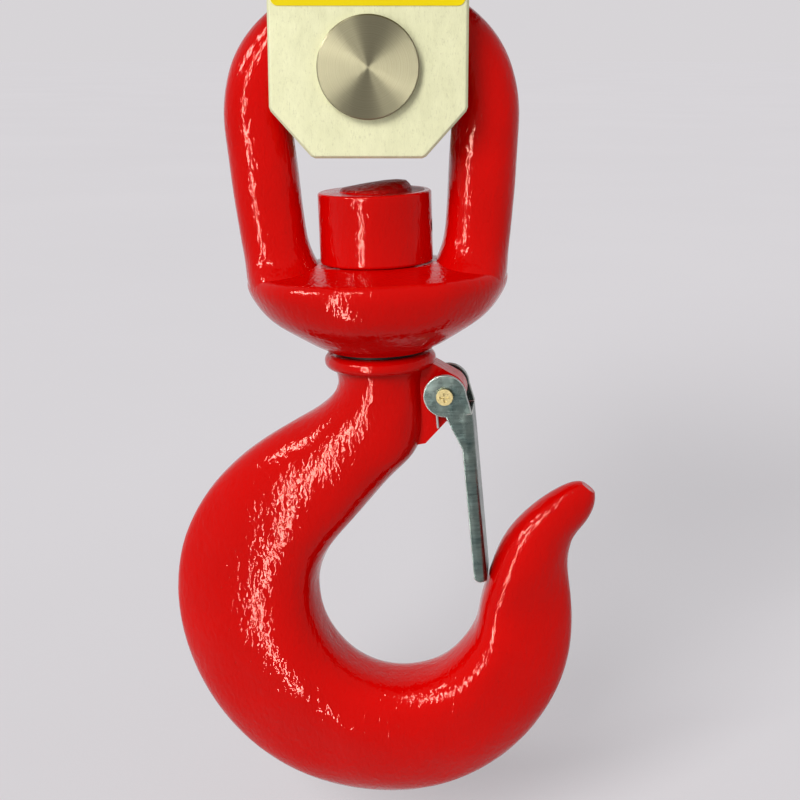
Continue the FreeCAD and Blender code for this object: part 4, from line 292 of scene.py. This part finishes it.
def nickel_steel(name):
    """Matt nickel plate: pale, faintly yellow, with a fine upright grain, soft clouds and bright edges."""
    s = Surface(name)
    cloud = s.noise(210.0, detail=5.0, rough=0.7, place=s.moved((1, 1, 0.4)))
    grain = s.noise(1500.0, rough=0.7, place=s.moved((1, 1, 0.35)))
    rounded, edge = s.edges(NICKEL_EDGE_RADIUS)
    tone = s.clouded(NICKEL, NICKEL_CLOUD, cloud, start=0.35, end=0.65)
    tone = s.clouded(tone, NICKEL_GRAIN, grain, most=0.6, start=0.55, end=0.7)
    tone = s.mix(s.calc("MULTIPLY", edge, NICKEL_EDGE_WEAR), tone, NICKEL_EDGE)
    lumps = s.bump(s.noise(120.0, detail=4.0), distance=0.00012, under=rounded)
    return s.finish(Base_Color=tone, Metallic=0.12, Roughness=s.uneven(0.5, 0.68, scale=240.0, detail=4.0),
                    Specular_IOR_Level=0.1, Normal=s.bump(grain, distance=0.00006, under=lumps))


def turned_steel(name):
    """Faced on a lathe: fine rings round the pin's axis, which draw light out into fans."""
    s = Surface(name)
    rings = s.add("ShaderNodeTexNoise", noise_dimensions="1D")
    turns = s.calc("MULTIPLY", s.radius_from(PIN_CENTRE, "Y"), PIN_RINGS_PER_METRE)
    s.fill(rings, W=turns, Scale=1.0, Detail=3.0)
    ring = rings.outputs["Fac"]
    tangent = s.add("ShaderNodeTangent", direction_type="RADIAL", axis="Y")
    return s.finish(Base_Color=s.clouded(PIN_STEEL, PIN_RING, ring), Metallic=1.0,
                    Roughness=s.span(ring, 0.33, 0.42), Anisotropic=0.9, Anisotropic_Rotation=0.25,
                    Tangent=tangent.outputs[0], Normal=s.bump(ring, distance=0.000012))


def metal(name, colour, rough=(0.28, 0.42), blotch=90.0, grain=(1, 1, 1), contrast=METAL_BLOTCH):
    """Plain metal: blotches of tone, drawn or ground grain, small uneven shine."""
    s = Surface(name)
    lines = s.noise(900.0, rough=0.6, place=s.moved(grain))
    tone = s.clouded(colour, darker(colour, contrast), s.noise(blotch, detail=4.0))
    tone = s.clouded(tone, darker(colour, contrast * METAL_LINE), lines, most=0.4, start=0.5, end=0.75)
    return s.finish(Base_Color=tone, Metallic=1.0, Roughness=s.uneven(*rough, scale=blotch * 2.5),
                    Normal=s.bump(lines, distance=0.00002))


def galvanised(name):
    """Hot-dip zinc: crystals of different greys and shines with soft edges."""
    s = Surface(name)
    crystals = s.add("ShaderNodeTexVoronoi")
    s.fill(crystals, Vector=s.place, Scale=115.0)
    split = s.add("ShaderNodeSeparateColor")
    s.put(split.inputs[0], crystals.outputs["Color"])
    tone = s.mix(split.outputs[0], CRYSTAL_DARK, CRYSTAL_PALE)
    tone = s.clouded(tone, CRYSTAL_DULL, s.noise(30.0, detail=4.0), most=0.5)
    lumps = s.bump(s.noise(45.0), distance=0.0008)
    return s.finish(Base_Color=tone, Metallic=0.9, Roughness=s.span(split.outputs[1], 0.34, 0.54, 0.0, 1.0),
                    Normal=s.bump(s.noise(260.0, detail=4.0, rough=0.6), distance=0.00022, under=lumps))


def zinc_sheet(name):
    """Zinc plated sheet, streaked across its length by the press, with bright edges: partly rubbed metal,
    partly a painted highlight.
    """
    s = Surface(name)
    streak = s.noise(1.0, detail=4.0, rough=0.7, place=s.moved((70.0, 70.0, 900.0)))
    rounded, edge = s.edges(ZINC_EDGE_RADIUS)
    tone = s.clouded(ZINC, ZINC_STREAK, streak, start=0.35, end=0.65)
    tone = s.clouded(tone, ZINC_SPOT, s.noise(120.0, detail=4.0), most=0.5)
    # Bright edges: partly rubbed metal, partly a painted highlight where the rounded edges catch light.
    tone = s.mix(edge, tone, ZINC_RUBBED_EDGE_AND_HIGHLIGHT)
    lumps = s.bump(s.noise(90.0, detail=2.0), distance=0.0006, under=rounded)
    return s.finish(Base_Color=tone, Metallic=1.0, Roughness=s.uneven(0.22, 0.38, scale=200.0),
                    Normal=s.bump(streak, distance=0.00006, under=lumps))


def painted(name, colour, rough, grain, depth):
    """Powder coat, moulded plastic or rubber: fine raised grain, faint clouding."""
    s = Surface(name)
    fine = s.noise(grain, rough=0.6)
    tone = s.clouded(colour, darker(colour, COAT_CLOUD), s.noise(18.0, detail=4.0))
    worn = tuple(min(1.0, part * COAT_WORN + 0.01) for part in colour)
    tone = s.clouded(tone, worn, fine, most=0.5, start=0.55, end=0.72)
    lumps = s.bump(s.noise(90.0, detail=2.0), distance=depth * 2)
    return s.finish(Base_Color=tone, Metallic=0.0, Roughness=s.uneven(*rough, scale=90.0),
                    Normal=s.bump(fine, distance=depth, under=lumps))


def label_film(name):
    """Bare yellow film."""
    s = Surface(name)
    return s.finish(Base_Color=s.clouded(FILM, FILM_CLOUD, s.noise(25.0)), Specular_IOR_Level=0.05,
                    Roughness=s.uneven(0.42, 0.55, scale=140.0),
                    Normal=s.bump(s.noise(420.0, detail=2.0), distance=0.00003))


def board_green(name):
    """Solder mask with faint tracks under it, from a flat texture turned up into the board's plane."""
    s = Surface(name)
    tracks = s.add("ShaderNodeTexBrick")
    upright = s.moved((1, 1, 1), turn=(math.pi / 2, 0, 0))
    s.fill(tracks, Vector=upright, Scale=120.0, Mortar_Size=0.06)
    track = tracks.outputs["Fac"]
    return s.finish(Base_Color=s.mix(track, BOARD, BOARD_TRACK), Roughness=s.uneven(0.25, 0.4, scale=300.0),
                    Normal=s.bump(track, distance=0.00003))


def clear(name, colour, rough):
    """Clear plastic with a faint haze."""
    s = Surface(name)
    return s.finish(Base_Color=s.mix(s.noise(60.0), colour, darker(colour, CLEAR_CLOUD)),
                    Roughness=s.uneven(rough * 0.5, rough * 1.8, scale=220.0), Transmission_Weight=0.9,
                    Normal=s.bump(s.noise(35.0), distance=0.00002))


def lit_red(name):
    """The digits' light bars."""
    s = Surface(name)
    tone = s.mix(s.noise(500.0), DIGIT, DIGIT_CLOUD)
    return s.finish(Base_Color=tone, Roughness=s.uneven(0.3, 0.45, scale=300.0), Emission_Color=tone,
                    Emission_Strength=1.2, Normal=s.bump(s.noise(900.0), distance=0.00002))


def floor_finish(name):
    """Pale and matt. The camera and glass see it a little brighter than it lights others."""
    s = Surface(name)
    tone = s.clouded(FLOOR_COLOUR, darker(FLOOR_COLOUR, FLOOR_CLOUDING), s.noise(1.5, detail=4.0))
    ray = s.add("ShaderNodeLightPath").outputs
    seen = s.calc("MAXIMUM", ray["Is Camera Ray"], ray["Is Transmission Ray"])
    return s.finish(Base_Color=tone, Roughness=s.uneven(0.7, 0.85, scale=40.0), Specular_IOR_Level=0.0,
                    Emission_Color=opaque(FLOOR_GLOW), Emission_Strength=seen,
                    Normal=s.bump(s.noise(700.0), distance=0.00006))


# rough is the least and the most roughness. A metal's grain stretches its lines, as Surface.moved says. A
# coat's grain is in features per metre, and depth is its height.
METALS = {
    "bolt_steel": dict(colour=(0.46, 0.46, 0.45), rough=(0.38, 0.52), grain=(1, 0.1, 1)),
    "keeper_steel": dict(colour=(0.66, 0.67, 0.68), grain=(0.08, 1, 1)),
    "dark_steel": dict(colour=(0.035, 0.022, 0.02), rough=(0.5, 0.65), contrast=0.6),
    "yellow_zinc": dict(colour=(0.58, 0.47, 0.22), rough=(0.26, 0.38), blotch=700.0, contrast=0.85),
    "spring_steel": dict(colour=(0.50, 0.49, 0.47), rough=(0.25, 0.35), grain=(1, 1, 0.1)),
    "screw_steel": dict(colour=(0.64, 0.64, 0.63), rough=(0.24, 0.36), blotch=260.0),
    "knob_steel": dict(colour=(0.68, 0.68, 0.67), rough=(0.2, 0.32), grain=(1, 0.05, 1)),
    "plated_brass": dict(colour=(0.82, 0.68, 0.34), rough=(0.18, 0.3), blotch=260.0),
    "foil": dict(colour=(0.72, 0.52, 0.28), rough=(0.3, 0.42), blotch=400.0),
}
COATS = {
    "housing_paint": dict(colour=(0.055, 0.058, 0.062), rough=(0.42, 0.56), grain=1200.0, depth=0.00012),
    "black_rubber": dict(colour=(0.022, 0.022, 0.022), rough=(0.6, 0.8), grain=1800.0, depth=0.00005),
    "key_rubber": dict(colour=(0.085, 0.09, 0.10), rough=(0.5, 0.65), grain=1500.0, depth=0.00004),
    "bezel_plastic": dict(colour=(0.030, 0.030, 0.034), rough=(0.34, 0.46), grain=2200.0, depth=0.00003),
    "digit_black": dict(colour=(0.018, 0.018, 0.020), rough=(0.2, 0.3), grain=2000.0, depth=0.00001),
    "chip_black": dict(colour=(0.035, 0.035, 0.036), rough=(0.45, 0.6), grain=2500.0, depth=0.00002),
    "tray_plastic": dict(colour=(0.06, 0.06, 0.064), rough=(0.4, 0.55), grain=1600.0, depth=0.00004),
    "battery_sleeve": dict(colour=(0.025, 0.09, 0.33), rough=(0.25, 0.38), grain=1200.0, depth=0.00003),
}
CLEARS = {
    "clear_window": dict(colour=(0.80, 0.83, 0.85), rough=0.03),
    "lamp_plastic": dict(colour=(0.85, 0.92, 0.85), rough=0.12),
}
MATERIALS = {
    "galvanised": galvanised,
    "nickel_steel": nickel_steel,
    "turned_steel": turned_steel,
    "label_film": label_film,
    "red_enamel": red_enamel,
    "zinc_sheet": zinc_sheet,
    "digit_red": lit_red,
    "board_green": board_green,
}
for maker, family in ((metal, METALS), (painted, COATS), (clear, CLEARS)):
    MATERIALS.update({slot: partial(maker, **looks) for slot, looks in family.items()})


def dress_nodes():
    """Gives each CAD node its slots' materials. An ending such as .001 on a slot's name is cut off."""
    made = {slot: MATERIALS[slot](slot) for slot in SLOTS}
    for node in frame["nodes"].values():
        for place in node.material_slots:
            place.material = made[place.material.name.split(".")[0]]


# ---- stage ------------------------------------------------------------------------------------------------
def placed(name, data):
    """A new object in the scene."""
    thing = bpy.data.objects.new(name, data)
    bpy.context.scene.collection.objects.link(thing)
    return thing


def floor():
    """Large round floor, its rings closer together near the object."""
    mesh = bmesh.new()
    height = cad_box[0].z - FLOOR_GAP
    turns = [2 * math.pi * spoke / FLOOR_SPOKES for spoke in range(FLOOR_SPOKES)]
    rings = []
    for ring in range(1, FLOOR_RINGS + 1):
        radius = FLOOR_RADIUS * (ring / FLOOR_RINGS) ** FLOOR_RING_POWER
        corners = [(radius * math.cos(turn), radius * math.sin(turn), height) for turn in turns]
        rings.append([mesh.verts.new(corner) for corner in corners])
    mesh.faces.new(rings[0])
    for inner, outer in zip(rings, rings[1:]):
        for spoke in range(FLOOR_SPOKES):
            after = (spoke + 1) % FLOOR_SPOKES
            mesh.faces.new((inner[spoke], outer[spoke], outer[after], inner[after]))
    data = bpy.data.meshes.new("floor")
    mesh.to_mesh(data)
    mesh.free()
    thing = placed("floor", data)
    data.materials.append(floor_finish("floor_finish"))
    thing.visible_glossy = False


def gloss_lamp(name, left_deg, away, width, low, high):
    """Upright lamp that only gloss sees; its streaks run down every rounded side."""
    tall = high - low
    data = bpy.data.lights.new(name, "AREA")
    data.shape = "RECTANGLE"
    data.size = width
    data.size_y = tall
    data.energy = GLOSS_RADIANCE * math.pi * width * tall
    thing = placed(name, data)
    turn = math.radians(left_deg)
    thing.location = (-math.sin(turn) * away, -math.cos(turn) * away, low + tall / 2)
    thing.rotation_euler = (math.pi / 2, 0.0, -turn)
    thing.visible_camera = False
    thing.visible_diffuse = False


def sun():
    """Wide soft sun from the upper left, which gloss doesn't see."""
    data = bpy.data.lights.new("sun", "SUN")
    data.energy = SUN_STRENGTH
    data.angle = math.radians(SUN_ANGLE_DEG)
    data.color = SUN_COLOUR
    thing = placed("sun", data)
    turn, height = math.radians(SUN_LEFT_DEG), math.radians(SUN_HEIGHT_DEG)
    flat = math.cos(height)
    towards = Vector((-math.sin(turn) * flat, -math.cos(turn) * flat, math.sin(height)))
    thing.rotation_euler = towards.to_track_quat("Z", "Y").to_euler()
    thing.visible_glossy = False


def world():
    """Even light all round; the camera, gloss and glass see the backdrop's own tone."""
    made = bpy.data.worlds.new("studio")
    bpy.context.scene.world = made
    made.use_nodes = True
    nodes = Nodes(made.node_tree)
    ray = nodes.add("ShaderNodeLightPath").outputs
    seen = ray["Is Camera Ray"]
    for kind in ("Is Glossy Ray", "Is Transmission Ray"):
        seen = nodes.calc("MAXIMUM", seen, ray[kind])
    nodes.fill(nodes.tree.nodes["Background"], Color=nodes.mix(seen, WORLD_COLOUR, BACKGROUND_COLOUR))


def camera():
    """Level across, pitched down, in front of the hook."""
    data = bpy.data.cameras.new("camera")
    data.lens = LENS_MM
    data.sensor_width = SENSOR_MM
    data.clip_start = CAMERA_NEAR
    thing = placed("camera", data)
    thing.location = CAMERA_PLACE
    thing.rotation_euler = (math.radians(90.0 - CAMERA_PITCH_DEG), 0.0, 0.0)
    bpy.context.scene.camera = thing


dress_nodes()
floor()
world()
for lamp, measures in GLOSS_LAMPS.items():
    gloss_lamp(lamp, **measures)
sun()
camera()
bpy.context.scene.view_settings.view_transform = "Standard"
